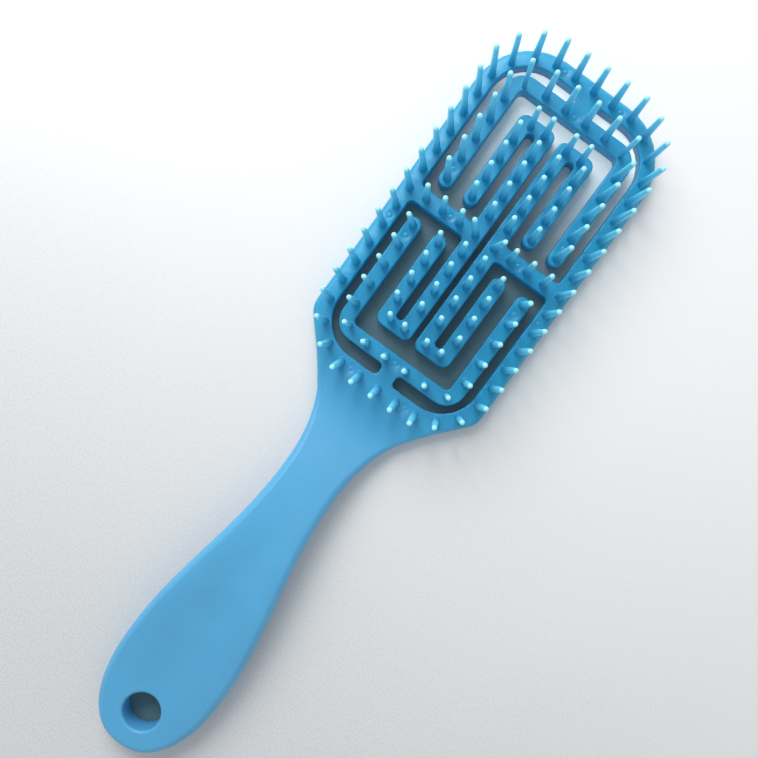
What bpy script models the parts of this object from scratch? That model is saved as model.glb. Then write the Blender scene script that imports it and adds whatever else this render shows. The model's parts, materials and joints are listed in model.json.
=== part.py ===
"""Vented detangling hair brush: one springy moulding, modelled member by member.

The head is a rim with a labyrinth of slots inside it. Two crossbars carry two spines, each spine
turns back on itself at both ends in a hairpin and ends in a free finger, and a U-shaped loop hangs
from each end of the rim. Every member carries tapered pins. The real brush is a single moulding,
so the members are parted only where they flex, by a thin gap.

Metres, +Z up. The brush lies on its back with its pins up. +Y runs from the handle to the head's
tip, and the origin is on the table, under the middle of the brush.
"""

import math

import bmesh
import bpy
from mathutils import Matrix, Vector

# Overall sizes
OVERALL_LENGTH = 0.234
HEAD_WIDTH = 0.0586
HEAD_REACH = 0.0543  # from the crossbars' centre line to the tip
PLATE_THICKNESS = 0.0043
FLEX_GAP = 0.0003  # the parting between two members, at the line where the plastic bends

# Shares of the plastic that lies across half of the head, between its slots
SPINE_SHARE = 0.2493
FINGER_SHARE = 0.2415
LEG_SHARE = 0.2415
RIM_SHARE = 1 - SPINE_SHARE - FINGER_SHARE - LEG_SHARE

# Rim of the head
END_RIM_WIDTH = 0.0056
TIP_CORNER_RADIUS = 0.0185
WINDOW_CORNER_RADIUS = 0.0110
ROOT_CORNER_RADIUS = 0.0070
ROOT_CORNER_DROP = 0.0055  # how far the rim's sides run down beside the root bar's slot
ROOT_BAR_DEPTH = 0.0083
ROOT_BAR_WIDTH = 0.0340
RIM_EDGE_ROUND = 0.0014

# Crossbars and spines
CROSSBAR_WIDTH = 0.0050
CROSSBAR_END_CHAMFER = 0.0013
CENTRE_SLOT = 0.0017
SPINE_SLOT = 0.0025
SPINE_ROOT_CHAMFER = 0.0013
HAIRPIN_END_GAP = 0.0044  # from a hairpin turn to the loop's bar
HAIRPIN_WIDTH = 0.0053
HAIRPIN_OUTER_RADIUS = 0.0026
HAIRPIN_INNER_RADIUS = 0.0023

# Fingers and loops
FREE_END_GAP = 0.0032
VENT_WIDTH = 0.0042  # the long opening between a finger and a leg
RIM_SLOT = 0.0027
END_SLOT = 0.0037
LOOP_BAR_WIDTH = 0.0046
LOOP_BAR_CROWN = 0.0003  # how much further out the bar's edge lies beside the bridge
LOOP_OUTER_RADIUS = 0.0064
LOOP_INNER_RADIUS = 0.0017
LOOP_CORNER_TAIL = 0.0003  # the straight stretch between a loop's corner and its leg's root
BRIDGE_WIDTH = 0.0053
BRIDGE_FILLET = 0.0014
BRIDGE_ROOT_CHAMFER = 0.0010
ARM_EDGE_ROUND = 0.0005

# Pins
PIN_HEIGHT = 0.0145
PIN_TIP_RADIUS = 0.00075
PIN_SHAFT_RADIUS = 0.00105
PIN_FLARE_RADIUS = 0.00145
PIN_FLARE_HEIGHT = 0.0008
PIN_DEPTH = 0.0009  # how far a pin's root reaches into the plate
PIN_LINE_RADIUS = 0.0158  # the corner of the line of pins along the rim
END_PIN_INSET = 0.0029
RIM_PIN_COUNT = 44
LOOP_PIN_COUNT = 16
CROSSBAR_PIN_COUNT = 4
SPINE_PIN_COUNT = 4
FINGER_PIN_COUNT = 4
FREE_END_PIN_INSET = 0.0024
ROOT_PIN_INSET = 0.0028
TURN_PIN_GAP = 0.0072  # from a spine's last pin to its hairpin's line
TURN_INNER_PIN_INSET = 0.0005
TURN_OUTER_PIN_INSET = 0.0018
RIM_PIN_SHARE = 0.59  # of the rim's width: how far its side pins stand in from its outer edge
SIDE_SPLAY_DEG = 5.7
FORWARD_SPLAY_DEG = 6.5  # how far the rim's side pins lean forward as well, most at the tip
TIP_SPLAY_DEG = 3.5
ROOT_SPLAY_DEG = 12.0
LOOP_SPLAY_DEG = 4.0
JUNCTION_SPLAY_DEG = 7.5

# Handle
NECK_WIDTH = 0.0180
NECK_DISTANCE = 0.0360  # from the root bar's window to the narrowest place
GRIP_WIDTH = 0.0342
GRIP_END_LENGTH = 0.0290  # from the widest place to the handle's end
NECK_THICKNESS = 0.0068
GRIP_THICKNESS = 0.0092
HEEL_THICKNESS = 0.0082
HEEL_LENGTH = 0.0200  # the flat under the handle's end that rests on the table
GRIP_EDGE_REACH = 0.0028
ARCH_HEIGHT = 0.0050
END_ROUND = 0.0042
GRIP_DISH = 0.0010
HANG_HOLE_DIAMETER = 0.0113
HANG_HOLE_INSET = 0.0125  # from the hole's centre to the handle's end
HANG_HOLE_ROUND = 0.0010
CUT_OVERRUN = 0.0020

# How shapes are divided, and shares that follow a size
ARC_STEPS = 4
WIDE_ARC_STEPS = 9
PIN_SIDES = 8
PIN_DOME_SHARES = ((1.0, 0.0), (0.62, 0.72))  # of the tip's radius: out from the axis, and up
FLARE_POWER = 2.4
END_POWER = 2.3
HANDLE_STATIONS = 26
SECTION_STEPS = 4
HOLE_SIDES = 28
GRIP_EDGE_SHARE = 0.40  # of the thickness: how far the rounding runs down from each face
ROUND_END_SHARE = 0.98  # of half a width: a free end's corner radius
END_STATION_SHARE = 0.9985  # of the end's length: where its last, smallest section stands
DISH_SHARE = 0.62  # of the dish's depth, half way from the middle to the flat's edge
WELD_SHARE = 0.01  # of the thinnest gap: points closer than this are one point
SHARP_ANGLE_DEG = 35.0

# Places that follow from the sizes, from the crossbars' centre line
CENTRE_Y = OVERALL_LENGTH / 2 - HEAD_REACH
WINDOW_HALF = HEAD_REACH - END_RIM_WIDTH
PLASTIC_ACROSS = (HEAD_WIDTH - CENTRE_SLOT) / 2 - SPINE_SLOT - VENT_WIDTH - RIM_SLOT
SPINE_WIDTH = PLASTIC_ACROSS * SPINE_SHARE
FINGER_WIDTH = PLASTIC_ACROSS * FINGER_SHARE
LEG_WIDTH = PLASTIC_ACROSS * LEG_SHARE
RIM_WIDTH = PLASTIC_ACROSS * RIM_SHARE
SPINE_INNER_X = CENTRE_SLOT / 2
SPINE_OUTER_X = SPINE_INNER_X + SPINE_WIDTH
FINGER_INNER_X = SPINE_OUTER_X + SPINE_SLOT
FINGER_OUTER_X = FINGER_INNER_X + FINGER_WIDTH
LEG_INNER_X = FINGER_OUTER_X + VENT_WIDTH
LEG_OUTER_X = LEG_INNER_X + LEG_WIDTH
RIM_INNER_X = LEG_OUTER_X + RIM_SLOT
SPINE_LINE_X = SPINE_INNER_X + SPINE_WIDTH / 2
FINGER_LINE_X = FINGER_INNER_X + FINGER_WIDTH / 2
LEG_LINE_X = LEG_INNER_X + LEG_WIDTH / 2
CROSSBAR_EDGE = CROSSBAR_WIDTH / 2
FREE_END_Y = CROSSBAR_EDGE + FREE_END_GAP
LOOP_BAR_OUTER_Y = WINDOW_HALF - END_SLOT
LOOP_BAR_INNER_Y = LOOP_BAR_OUTER_Y - LOOP_BAR_WIDTH
LOOP_LINE_Y = LOOP_BAR_OUTER_Y - LOOP_BAR_WIDTH / 2
HAIRPIN_OUTER_Y = LOOP_BAR_INNER_Y - HAIRPIN_END_GAP
HAIRPIN_INNER_Y = HAIRPIN_OUTER_Y - HAIRPIN_WIDTH
HAIRPIN_LINE_Y = HAIRPIN_OUTER_Y - HAIRPIN_WIDTH / 2
FINGER_ROOT_Y = HAIRPIN_INNER_Y - FLEX_GAP
LOOP_CORNER_DEPTH = max(LOOP_OUTER_RADIUS, LOOP_BAR_WIDTH + LOOP_INNER_RADIUS) + LOOP_CORNER_TAIL
LOOP_ROOT_Y = LOOP_BAR_OUTER_Y - LOOP_CORNER_DEPTH - FLEX_GAP
ROOT_Y = -WINDOW_HALF - ROOT_BAR_DEPTH
RIM_PIN_X = HEAD_WIDTH / 2 - RIM_WIDTH * RIM_PIN_SHARE
RIM_PIN_Y = HEAD_REACH - END_PIN_INSET
HANDLE_END_Y = HEAD_REACH - OVERALL_LENGTH
NECK_Y = -WINDOW_HALF - NECK_DISTANCE
GRIP_Y = HANDLE_END_Y + GRIP_END_LENGTH
MID_Z = PLATE_THICKNESS / 2
HALF_GAP = FLEX_GAP / 2
WELD = FLEX_GAP * WELD_SHARE

BLUE = (0.100, 0.440, 0.720, 1.0)
ROUGHNESS = 0.38


def clear_scene():
    """Takes every object out of the scene."""
    for obj in list(bpy.data.objects):
        bpy.data.objects.remove(obj, do_unlink=True)


def new_collection(name, hidden=False):
    """A collection in the scene; a hidden one holds what only cuts or joins."""
    made = bpy.data.collections.new(name)
    made.hide_render = hidden
    bpy.context.scene.collection.children.link(made)
    return made


def plastic(name):
    """The blue plastic, as a material of the piece's own."""
    made = bpy.data.materials.new(name)
    made.use_nodes = True
    shader = made.node_tree.nodes["Principled BSDF"]
    shader.inputs["Base Color"].default_value = BLUE
    shader.inputs["Roughness"].default_value = ROUGHNESS
    shader.inputs["Metallic"].default_value = 0.0
    return made


def rounded(corners):
    """The points of a closed outline, given as (x, y, radius) corners, with each corner as an arc."""
    points = []
    for i, (x, y, radius) in enumerate(corners):
        here = Vector((x, y))
        before = Vector(corners[i - 1][:2]) - here
        after = Vector(corners[(i + 1) % len(corners)][:2]) - here
        if not radius:
            points.append(here)
            continue
        turn = math.pi - before.angle(after)
        reach = radius * math.tan(turn / 2)
        start = here + before.normalized() * reach
        end = here + after.normalized() * reach
        inward = (before.normalized() + after.normalized()).normalized()
        centre = here + inward * (radius / math.cos(turn / 2))
        steps = WIDE_ARC_STEPS if radius > WINDOW_CORNER_RADIUS / 2 else ARC_STEPS
        first = start - centre
        way = 1 if first.x * (end - centre).y - first.y * (end - centre).x > 0 else -1
        for k in range(steps + 1):
            angle = way * turn * k / steps
            spin = Matrix.Rotation(angle, 2)
            points.append(centre + spin @ first)
    return points


def plate(name, outlines, edge_round, fineness=0):
    """A flat plate with rounded top and bottom edges, from closed outlines, as a mesh.

    Each outline is a list of points about the crossbars' centre line. A second one is a window.
    """
    curve = bpy.data.curves.new(name, "CURVE")
    curve.dimensions = "2D"
    curve.fill_mode = "BOTH"
    curve.extrude = PLATE_THICKNESS / 2 - edge_round
    curve.bevel_depth = edge_round
    curve.bevel_resolution = fineness
    curve.offset = -edge_round
    for outline in outlines:
        spline = curve.splines.new("POLY")
        spline.points.add(len(outline) - 1)
        spline.use_cyclic_u = True
        for point, place in zip(spline.points, outline):
            point.co = (place.x, place.y + CENTRE_Y, 0, 1)
    drawn = bpy.data.objects.new(name + "_outline", curve)
    bpy.context.scene.collection.objects.link(drawn)
    drawn.location.z = MID_Z
    mesh = mesh_of(drawn)
    bpy.data.objects.remove(drawn, do_unlink=True)
    return mesh


def mesh_of(obj):
    """The object's evaluated mesh in world space, welded and facing out."""
    bpy.context.view_layer.update()
    graph = bpy.context.evaluated_depsgraph_get()
    mesh = bpy.data.meshes.new_from_object(obj.evaluated_get(graph))
    mesh.transform(obj.matrix_world)
    shape = bmesh.new()
    shape.from_mesh(mesh)
    bmesh.ops.remove_doubles(shape, verts=shape.verts, dist=WELD)
    bmesh.ops.recalc_face_normals(shape, faces=shape.faces)
    shape.to_mesh(mesh)
    shape.free()
    return mesh


def pin_template():
    """One pin, turned about Z: a flared root, a tapered shaft and a domed tip, as a mesh."""
    dome_z = PIN_HEIGHT - PIN_TIP_RADIUS
    profile = [(0, PIN_HEIGHT)]
    for out_share, up_share in reversed(PIN_DOME_SHARES):
        profile.append((PIN_TIP_RADIUS * out_share, dome_z + PIN_TIP_RADIUS * up_share))
    profile.append((PIN_SHAFT_RADIUS, PIN_FLARE_HEIGHT))
    profile.append((PIN_FLARE_RADIUS, -PIN_DEPTH))
    profile.append((0, -PIN_DEPTH))
    return turned("pin_profile", profile, PIN_SIDES)


def turned(name, profile, sides):
    """A mesh turned about Z from (out, up) points that run down the outer side."""
    mesh = bpy.data.meshes.new(name)
    edges = [(i, i + 1) for i in range(len(profile) - 1)]
    mesh.from_pydata([(out, 0, up) for out, up in profile], edges, [])
    obj = bpy.data.objects.new(name, mesh)
    bpy.context.scene.collection.objects.link(obj)
    screw = obj.modifiers.new("turn", "SCREW")
    screw.steps = sides
    screw.render_steps = sides
    screw.use_merge_vertices = True
    screw.merge_threshold = WELD
    made = mesh_of(obj)
    bpy.data.objects.remove(obj, do_unlink=True)
    return made


def pins_object(name, sites, template, collection):
    """All the pins of one piece as one object, each at (x, y, lean_x, lean_y) and leaning that way."""
    shape = bmesh.new()
    for x, y, lean_x, lean_y in sites:
        lean = Vector((lean_x, lean_y, 1)).normalized()
        turn = Vector((0, 0, 1)).rotation_difference(lean).to_matrix().to_4x4()
        place = Matrix.Translation((x, y + CENTRE_Y, PLATE_THICKNESS)) @ turn
        copy = template.copy()
        copy.transform(place)
        shape.from_mesh(copy)
        bpy.data.meshes.remove(copy)
    mesh = bpy.data.meshes.new(name)
    shape.to_mesh(mesh)
    shape.free()
    obj = bpy.data.objects.new(name, mesh)
    collection.objects.link(obj)
    obj.hide_render = True
    obj.display_type = "WIRE"
    return obj


def add_piece(name, mesh, collection, pins=None, cutters=(), origin=(0, 0, 0), parent=None):
    """Puts a mesh in the scene as a named piece, with its pins joined and its origin at the hinge."""
    mesh.name = name
    mesh.transform(Matrix.Translation(-Vector(origin)))
    mesh.materials.clear()
    mesh.materials.append(plastic(name + "_plastic"))
    obj = bpy.data.objects.new(name, mesh)
    collection.objects.link(obj)
    if parent:
        obj.parent = parent
        obj.location = Vector(origin) - Vector(parent["hinge"])
    else:
        obj.location = origin
    obj["hinge"] = origin
    for cutter in cutters:
        cut = obj.modifiers.new("cut_" + cutter.name, "BOOLEAN")
        cut.operation = "DIFFERENCE"
        cut.object = cutter
    if pins:
        join = obj.modifiers.new("join_" + pins.name, "BOOLEAN")
        join.operation = "UNION"
        join.solver = "MANIFOLD"
        join.object = pins
    mesh.shade_smooth()
    mesh.set_sharp_from_angle(angle=math.radians(SHARP_ANGLE_DEG))
    return obj


def place(points, side=1, half=1):
    """Points of the right upper quarter carried to another quarter of the head."""
    return [Vector((side * p.x, half * p.y)) for p in points]


def leaning(x, y, across_deg=0, along_deg=0):
    """A pin's site: its place, and how far it leans over across the head and along it."""
    return (x, y, math.tan(math.radians(across_deg)), math.tan(math.radians(along_deg)))


def rim_pin_sites():
    """Pins at one pitch along a rounded rectangle inside the rim, leaning outward."""
    straight_x = RIM_PIN_X - PIN_LINE_RADIUS
    straight_y = RIM_PIN_Y - PIN_LINE_RADIUS
    arc = PIN_LINE_RADIUS * math.pi / 2
    quarter = straight_x + arc + straight_y
    sites = []
    for i in range(RIM_PIN_COUNT):
        index = 4 * i // RIM_PIN_COUNT
        along = quarter * (4 * i / RIM_PIN_COUNT - index)
        if index % 2:
            along = quarter - along
        turn = min(max((along - straight_x) / PIN_LINE_RADIUS, 0), math.pi / 2)
        out_x, out_y = math.sin(turn), math.cos(turn)
        x = min(along, straight_x) + PIN_LINE_RADIUS * out_x
        y = min(quarter - along, straight_y) + PIN_LINE_RADIUS * out_y
        side = 1 if index < 2 else -1
        half = 1 if index in (0, 3) else -1
        along_deg = half * out_y**2 * (TIP_SPLAY_DEG if half > 0 else ROOT_SPLAY_DEG)
        if half > 0:
            along_deg += FORWARD_SPLAY_DEG * out_x**2 * y / RIM_PIN_Y
        sites.append(leaning(side * x, half * y, side * out_x**3 * SIDE_SPLAY_DEG, along_deg))
    return sites


def loop_pin_sites():
    """Half of the upper loop's pins, at one pitch from the right leg's free end to mid bar."""
    radius = LOOP_OUTER_RADIUS - LEG_WIDTH / 2 + LOOP_BAR_WIDTH / 2
    start_y = FREE_END_Y + FREE_END_PIN_INSET
    leg = LOOP_LINE_Y - radius - start_y
    arc = radius * math.pi / 2
    pitch = (leg + arc + LEG_LINE_X - radius) / (LOOP_PIN_COUNT / 2 - 1 / 2)
    found = []
    for k in range(LOOP_PIN_COUNT // 2):
        walked = pitch * k
        turn = min(max((walked - leg) / radius, 0), math.pi / 2)
        x = LEG_LINE_X - radius + radius * math.cos(turn) - max(walked - leg - arc, 0)
        y = start_y + min(walked, leg) + radius * math.sin(turn)
        found.append(leaning(x, y, LOOP_SPLAY_DEG * math.cos(turn), LOOP_SPLAY_DEG))
    return found


def spine_pin_sites():
    """The right upper spine's pins, at one pitch from the crossbar, and the two on its turn."""
    pitch = (HAIRPIN_LINE_Y - TURN_PIN_GAP) / SPINE_PIN_COUNT
    places = [(SPINE_LINE_X, pitch * k) for k in range(1, SPINE_PIN_COUNT + 1)]
    places.append((SPINE_LINE_X + TURN_INNER_PIN_INSET, HAIRPIN_LINE_Y))
    places.append((FINGER_LINE_X - TURN_OUTER_PIN_INSET, HAIRPIN_LINE_Y))
    return [leaning(x, y) for x, y in places]


def finger_pin_sites():
    """The right upper finger's pins, at one pitch from its free end to its root."""
    first = FREE_END_Y + FREE_END_PIN_INSET
    last = FINGER_ROOT_Y - ROOT_PIN_INSET
    pitch = (last - first) / (FINGER_PIN_COUNT - 1)
    return [leaning(FINGER_LINE_X, first + pitch * k) for k in range(FINGER_PIN_COUNT)]


def crossbar_pin_sites():
    """The right crossbar's pins, at one pitch; the one where it meets the spines leans outward."""
    pitch = (RIM_PIN_X - SPINE_LINE_X) / CROSSBAR_PIN_COUNT
    others = [leaning(SPINE_LINE_X + pitch * k, 0) for k in range(1, CROSSBAR_PIN_COUNT)]
    return [leaning(SPINE_LINE_X, 0, JUNCTION_SPLAY_DEG), *others]


def head_frame_outlines():
    """The rim's outer outline, down to its cut at the neck, and the window inside it."""
    half_width = HEAD_WIDTH / 2
    half_root = ROOT_BAR_WIDTH / 2
    corner_y = -WINDOW_HALF + ROOT_CORNER_DROP
    outer = rounded([
        (half_width, HEAD_REACH, TIP_CORNER_RADIUS),
        (-half_width, HEAD_REACH, TIP_CORNER_RADIUS),
        (-half_width, corner_y, ROOT_CORNER_RADIUS),
        (-half_root, ROOT_Y, 0),
        (half_root, ROOT_Y, 0),
        (half_width, corner_y, ROOT_CORNER_RADIUS),
    ])
    window = rounded([
        (RIM_INNER_X, WINDOW_HALF, WINDOW_CORNER_RADIUS),
        (-RIM_INNER_X, WINDOW_HALF, WINDOW_CORNER_RADIUS),
        (-RIM_INNER_X, -WINDOW_HALF, WINDOW_CORNER_RADIUS),
        (RIM_INNER_X, -WINDOW_HALF, WINDOW_CORNER_RADIUS),
    ])
    return [outer, window]


def crossbar_outline():
    """The right crossbar, from the slot in the middle out to the rim."""
    end_x = RIM_INNER_X - FLEX_GAP
    return rounded([
        (SPINE_INNER_X, CROSSBAR_EDGE, 0),
        (end_x - CROSSBAR_END_CHAMFER, CROSSBAR_EDGE, 0),
        (end_x, CROSSBAR_EDGE + CROSSBAR_END_CHAMFER, 0),
        (end_x, -CROSSBAR_EDGE - CROSSBAR_END_CHAMFER, 0),
        (end_x - CROSSBAR_END_CHAMFER, -CROSSBAR_EDGE, 0),
        (SPINE_INNER_X, -CROSSBAR_EDGE, 0),
    ])


def spine_outline():
    """The right upper spine with its hairpin turn, parted from the crossbar and from the finger."""
    root_y = CROSSBAR_EDGE + FLEX_GAP
    slot_radius = SPINE_SLOT / 2 * ROUND_END_SHARE
    slot_end = HAIRPIN_INNER_Y + SPINE_SLOT / 2
    return rounded([
        (SPINE_INNER_X, root_y, 0),
        (SPINE_OUTER_X + SPINE_ROOT_CHAMFER, root_y, 0),
        (SPINE_OUTER_X, root_y + SPINE_ROOT_CHAMFER, 0),
        (SPINE_OUTER_X, slot_end, slot_radius),
        (FINGER_INNER_X, slot_end, slot_radius),
        (FINGER_INNER_X, HAIRPIN_INNER_Y, 0),
        (FINGER_OUTER_X, HAIRPIN_INNER_Y, 0),
        (FINGER_OUTER_X, HAIRPIN_OUTER_Y, HAIRPIN_OUTER_RADIUS),
        (SPINE_INNER_X, HAIRPIN_OUTER_Y, HAIRPIN_INNER_RADIUS),
    ])


def strip_outline(inner_x, outer_x, root_y):
    """A straight member from its root down to a round free end beside the crossbar."""
    radius = (outer_x - inner_x) / 2 * ROUND_END_SHARE
    return rounded([
        (inner_x, FREE_END_Y, radius),
        (outer_x, FREE_END_Y, radius),
        (outer_x, root_y, 0),
        (inner_x, root_y, 0),
    ])


def loop_bar_outline():
    """The upper loop's bar with its two corners and the bridge that joins it to the rim's tip."""
    bridge_x = BRIDGE_WIDTH / 2
    bridge_y = WINDOW_HALF - FLEX_GAP
    root_y = LOOP_ROOT_Y + FLEX_GAP
    half = [
        (bridge_x + BRIDGE_ROOT_CHAMFER, bridge_y, 0),
        (bridge_x, bridge_y - BRIDGE_ROOT_CHAMFER, 0),
        (bridge_x, LOOP_BAR_OUTER_Y + LOOP_BAR_CROWN, BRIDGE_FILLET),
        (LEG_OUTER_X, LOOP_BAR_OUTER_Y, LOOP_OUTER_RADIUS * ROUND_END_SHARE),
        (LEG_OUTER_X, root_y, 0),
        (LEG_INNER_X, root_y, 0),
        (LEG_INNER_X, LOOP_BAR_INNER_Y, LOOP_INNER_RADIUS),
    ]
    other = [(-x, y, radius) for x, y, radius in reversed(half)]
    return rounded(half + other)


def ease(value, start, end):
    """A smooth step from 0 at start to 1 at end."""
    share = min(max((value - start) / (end - start), 0), 1)
    return share * share * (3 - 2 * share)


def bump(value, start, end):
    """A smooth rise from 0 at start to 1 midway, and back to 0 at end."""
    share = min(max((value - start) / (end - start), 0), 1)
    return math.sin(math.pi * share) ** 2


def handle_half_width(y):
    """Half the handle's width: a flare from the root bar, a long swell, and a rounded end."""
    neck = NECK_WIDTH / 2
    grip = GRIP_WIDTH / 2
    if y > NECK_Y:
        return neck + (ROOT_BAR_WIDTH / 2 - neck) * ((y - NECK_Y) / (ROOT_Y - NECK_Y)) ** FLARE_POWER
    if y > GRIP_Y:
        share = (NECK_Y - y) / (NECK_Y - GRIP_Y)
        return neck + (grip - neck) * (1 - math.cos(math.pi * share)) / 2
    share = (GRIP_Y - y) / GRIP_END_LENGTH
    return grip * (1 - share**END_POWER) ** (1 / END_POWER)


def handle_faces(y):
    """The heights of the handle's underside and of its top face, before the dish."""
    thickness = PLATE_THICKNESS + (NECK_THICKNESS - PLATE_THICKNESS) * ease(y, ROOT_Y, NECK_Y)
    thickness += (GRIP_THICKNESS - NECK_THICKNESS) * ease(y, NECK_Y, GRIP_Y)
    thickness += (HEEL_THICKNESS - GRIP_THICKNESS) * ease(y, GRIP_Y, HANDLE_END_Y)
    under = ARCH_HEIGHT * bump(y, ROOT_Y, HANDLE_END_Y + HEEL_LENGTH)
    share = min(max((HANDLE_END_Y + END_ROUND - y) / END_ROUND, 0), 1)
    drawn_in = thickness / 2 * (1 - math.sqrt(1 - share * share))
    return under + drawn_in, under + thickness - drawn_in


def handle_section(y):
    """One section across the handle: a flat underside, rounded sides and a slightly dished top."""
    half_width = handle_half_width(y)
    under, top = handle_faces(y)
    grown = ease(y, ROOT_Y, NECK_Y)
    reach = min(RIM_EDGE_ROUND + (GRIP_EDGE_REACH - RIM_EDGE_ROUND) * grown, half_width)
    fall = RIM_EDGE_ROUND + ((top - under) * GRIP_EDGE_SHARE - RIM_EDGE_ROUND) * grown
    fall = min(fall, (top - under) * GRIP_EDGE_SHARE)
    flat = half_width - reach
    dish = GRIP_DISH * bump(y, NECK_Y, HANDLE_END_Y)
    right = []
    for k in range(SECTION_STEPS + 1):
        angle = math.pi / 2 * k / SECTION_STEPS
        right.append((flat + reach * math.cos(angle), top - fall + fall * math.sin(angle)))
    crown = [(flat / 2, top - dish * DISH_SHARE), (0, top - dish), (-flat / 2, top - dish * DISH_SHARE)]
    lower = [(x, under + top - z) for x, z in reversed(right)]
    left = [(-x, z) for x, z in reversed(right)]
    lower_left = [(-x, z) for x, z in reversed(lower)]
    return [(x, y, z) for x, z in lower + right + crown + left + lower_left]


def handle_stations():
    """Places along the handle: even down to its widest place, then closer towards the end."""
    start = ROOT_Y - FLEX_GAP
    straight = [start + (GRIP_Y - start) * k / HANDLE_STATIONS for k in range(HANDLE_STATIONS)]
    steps = HANDLE_STATIONS // 2
    shares = [math.sin(math.pi / 2 * k / steps) for k in range(steps)] + [END_STATION_SHARE]
    return straight + [GRIP_Y - GRIP_END_LENGTH * share for share in shares]


def handle_mesh():
    """The handle as a loft through its sections."""
    shape = bmesh.new()
    rings = []
    for y in handle_stations():
        section = handle_section(y)
        rings.append([shape.verts.new((x, along + CENTRE_Y, z)) for x, along, z in section])
    for near, far in zip(rings, rings[1:]):
        for i in range(len(near)):
            j = (i + 1) % len(near)
            shape.faces.new((near[i], near[j], far[j], far[i]))
    shape.faces.new(rings[0])
    shape.faces.new(rings[-1])
    bmesh.ops.recalc_face_normals(shape, faces=shape.faces)
    mesh = bpy.data.meshes.new("handle")
    shape.to_mesh(mesh)
    shape.free()
    return mesh


def hang_hole(collection):
    """The cutter for the hang hole: straight in the middle, with a rounded mouth on each face."""
    y = HANDLE_END_Y + HANG_HOLE_INSET
    under, top = handle_faces(y)
    top -= GRIP_DISH * bump(y, NECK_Y, HANDLE_END_Y)
    radius = HANG_HOLE_DIAMETER / 2
    mouth = radius + HANG_HOLE_ROUND
    profile = [(0, top + CUT_OVERRUN), (mouth, top + CUT_OVERRUN)]
    for k in range(ARC_STEPS + 1):
        angle = math.pi / 2 * k / ARC_STEPS
        profile.append((mouth - HANG_HOLE_ROUND * math.sin(angle), top - HANG_HOLE_ROUND * (1 - math.cos(angle))))
    profile += [(out, under + top - up) for out, up in reversed(profile)]
    mesh = turned("hang_hole", profile, HOLE_SIDES)
    obj = bpy.data.objects.new("hang_hole", mesh)
    collection.objects.link(obj)
    obj.location = (0, y + CENTRE_Y, 0)
    obj.hide_render = True
    obj.display_type = "WIRE"
    return obj


def hinge(x, y):
    """A point on a hinge axis, half way through the plate."""
    return (x, y + CENTRE_Y, MID_Z)


def carried(pin_sites, side=1, half=1):
    """Pin sites of the right upper quarter, carried to another quarter."""
    return [(side * x, half * y, side * across, half * along) for x, y, across, along in pin_sites]


def add_arm(name, outline, pin_sites, brush, joining, template, origin, parent=None):
    """One springy member with its pins, its origin on the line where it bends."""
    pins = pins_object(name + "_pins", pin_sites, template, joining)
    mesh = plate(name, [outline], ARM_EDGE_ROUND)
    return add_piece(name, mesh, brush, pins, origin=origin, parent=parent)


def build_frame(brush, joining, template):
    """The rim and the root bar, and the crossbars between the rim and the spines."""
    pins = pins_object("head_frame_pins", rim_pin_sites(), template, joining)
    mesh = plate("head_frame", head_frame_outlines(), RIM_EDGE_ROUND, fineness=1)
    add_piece("head_frame", mesh, brush, pins)
    for side, word in ((1, "right"), (-1, "left")):
        pin_sites = carried(crossbar_pin_sites(), side)
        outline = place(crossbar_outline(), side)
        add_arm(word + "_crossbar", outline, pin_sites, brush, joining, template, (0, 0, 0))


def build_loop(half, word, brush, joining, template):
    """A U-shaped loop: a bar that hangs from the rim by its bridge, and two legs."""
    pin_sites = loop_pin_sites()
    on_bar = [site for site in pin_sites if site[1] > LOOP_ROOT_Y]
    on_leg = [site for site in pin_sites if site[1] <= LOOP_ROOT_Y]
    origin = hinge(0, half * (WINDOW_HALF - HALF_GAP))
    both_sides = carried(on_bar, 1, half) + carried(on_bar, -1, half)
    outline = place(loop_bar_outline(), 1, half)
    bar = add_arm(word + "_loop_bar", outline, both_sides, brush, joining, template, origin)
    for side, side_word in ((1, "right"), (-1, "left")):
        outline = place(strip_outline(LEG_INNER_X, LEG_OUTER_X, LOOP_ROOT_Y), side, half)
        origin = hinge(side * LEG_LINE_X, half * (LOOP_ROOT_Y + HALF_GAP))
        name = f"{word}_loop_{side_word}_leg"
        add_arm(name, outline, carried(on_leg, side, half), brush, joining, template, origin, bar)


def build_serpentine(side, half, word, brush, joining, template):
    """A spine with its hairpin turn, and the free finger that runs back from it."""
    outline = place(spine_outline(), side, half)
    origin = hinge(side * SPINE_LINE_X, half * (CROSSBAR_EDGE + HALF_GAP))
    pin_sites = carried(spine_pin_sites(), side, half)
    spine = add_arm(word + "_spine", outline, pin_sites, brush, joining, template, origin)
    outline = place(strip_outline(FINGER_INNER_X, FINGER_OUTER_X, FINGER_ROOT_Y), side, half)
    origin = hinge(side * FINGER_LINE_X, half * (HAIRPIN_INNER_Y - HALF_GAP))
    pin_sites = carried(finger_pin_sites(), side, half)
    add_arm(word + "_finger", outline, pin_sites, brush, joining, template, origin, spine)


def main():
    """Builds the brush."""
    clear_scene()
    brush = new_collection("hair_brush")
    joining = new_collection("joining_and_cutting_shapes", hidden=True)
    template = pin_template()
    add_piece("handle", handle_mesh(), brush, cutters=[hang_hole(joining)])
    build_frame(brush, joining, template)
    for half, half_word in ((1, "upper"), (-1, "lower")):
        build_loop(half, half_word, brush, joining, template)
        for side, side_word in ((1, "right"), (-1, "left")):
            word = f"{side_word}_{half_word}"
            build_serpentine(side, half, word, brush, joining, template)
    bpy.data.meshes.remove(template)


main()
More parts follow.
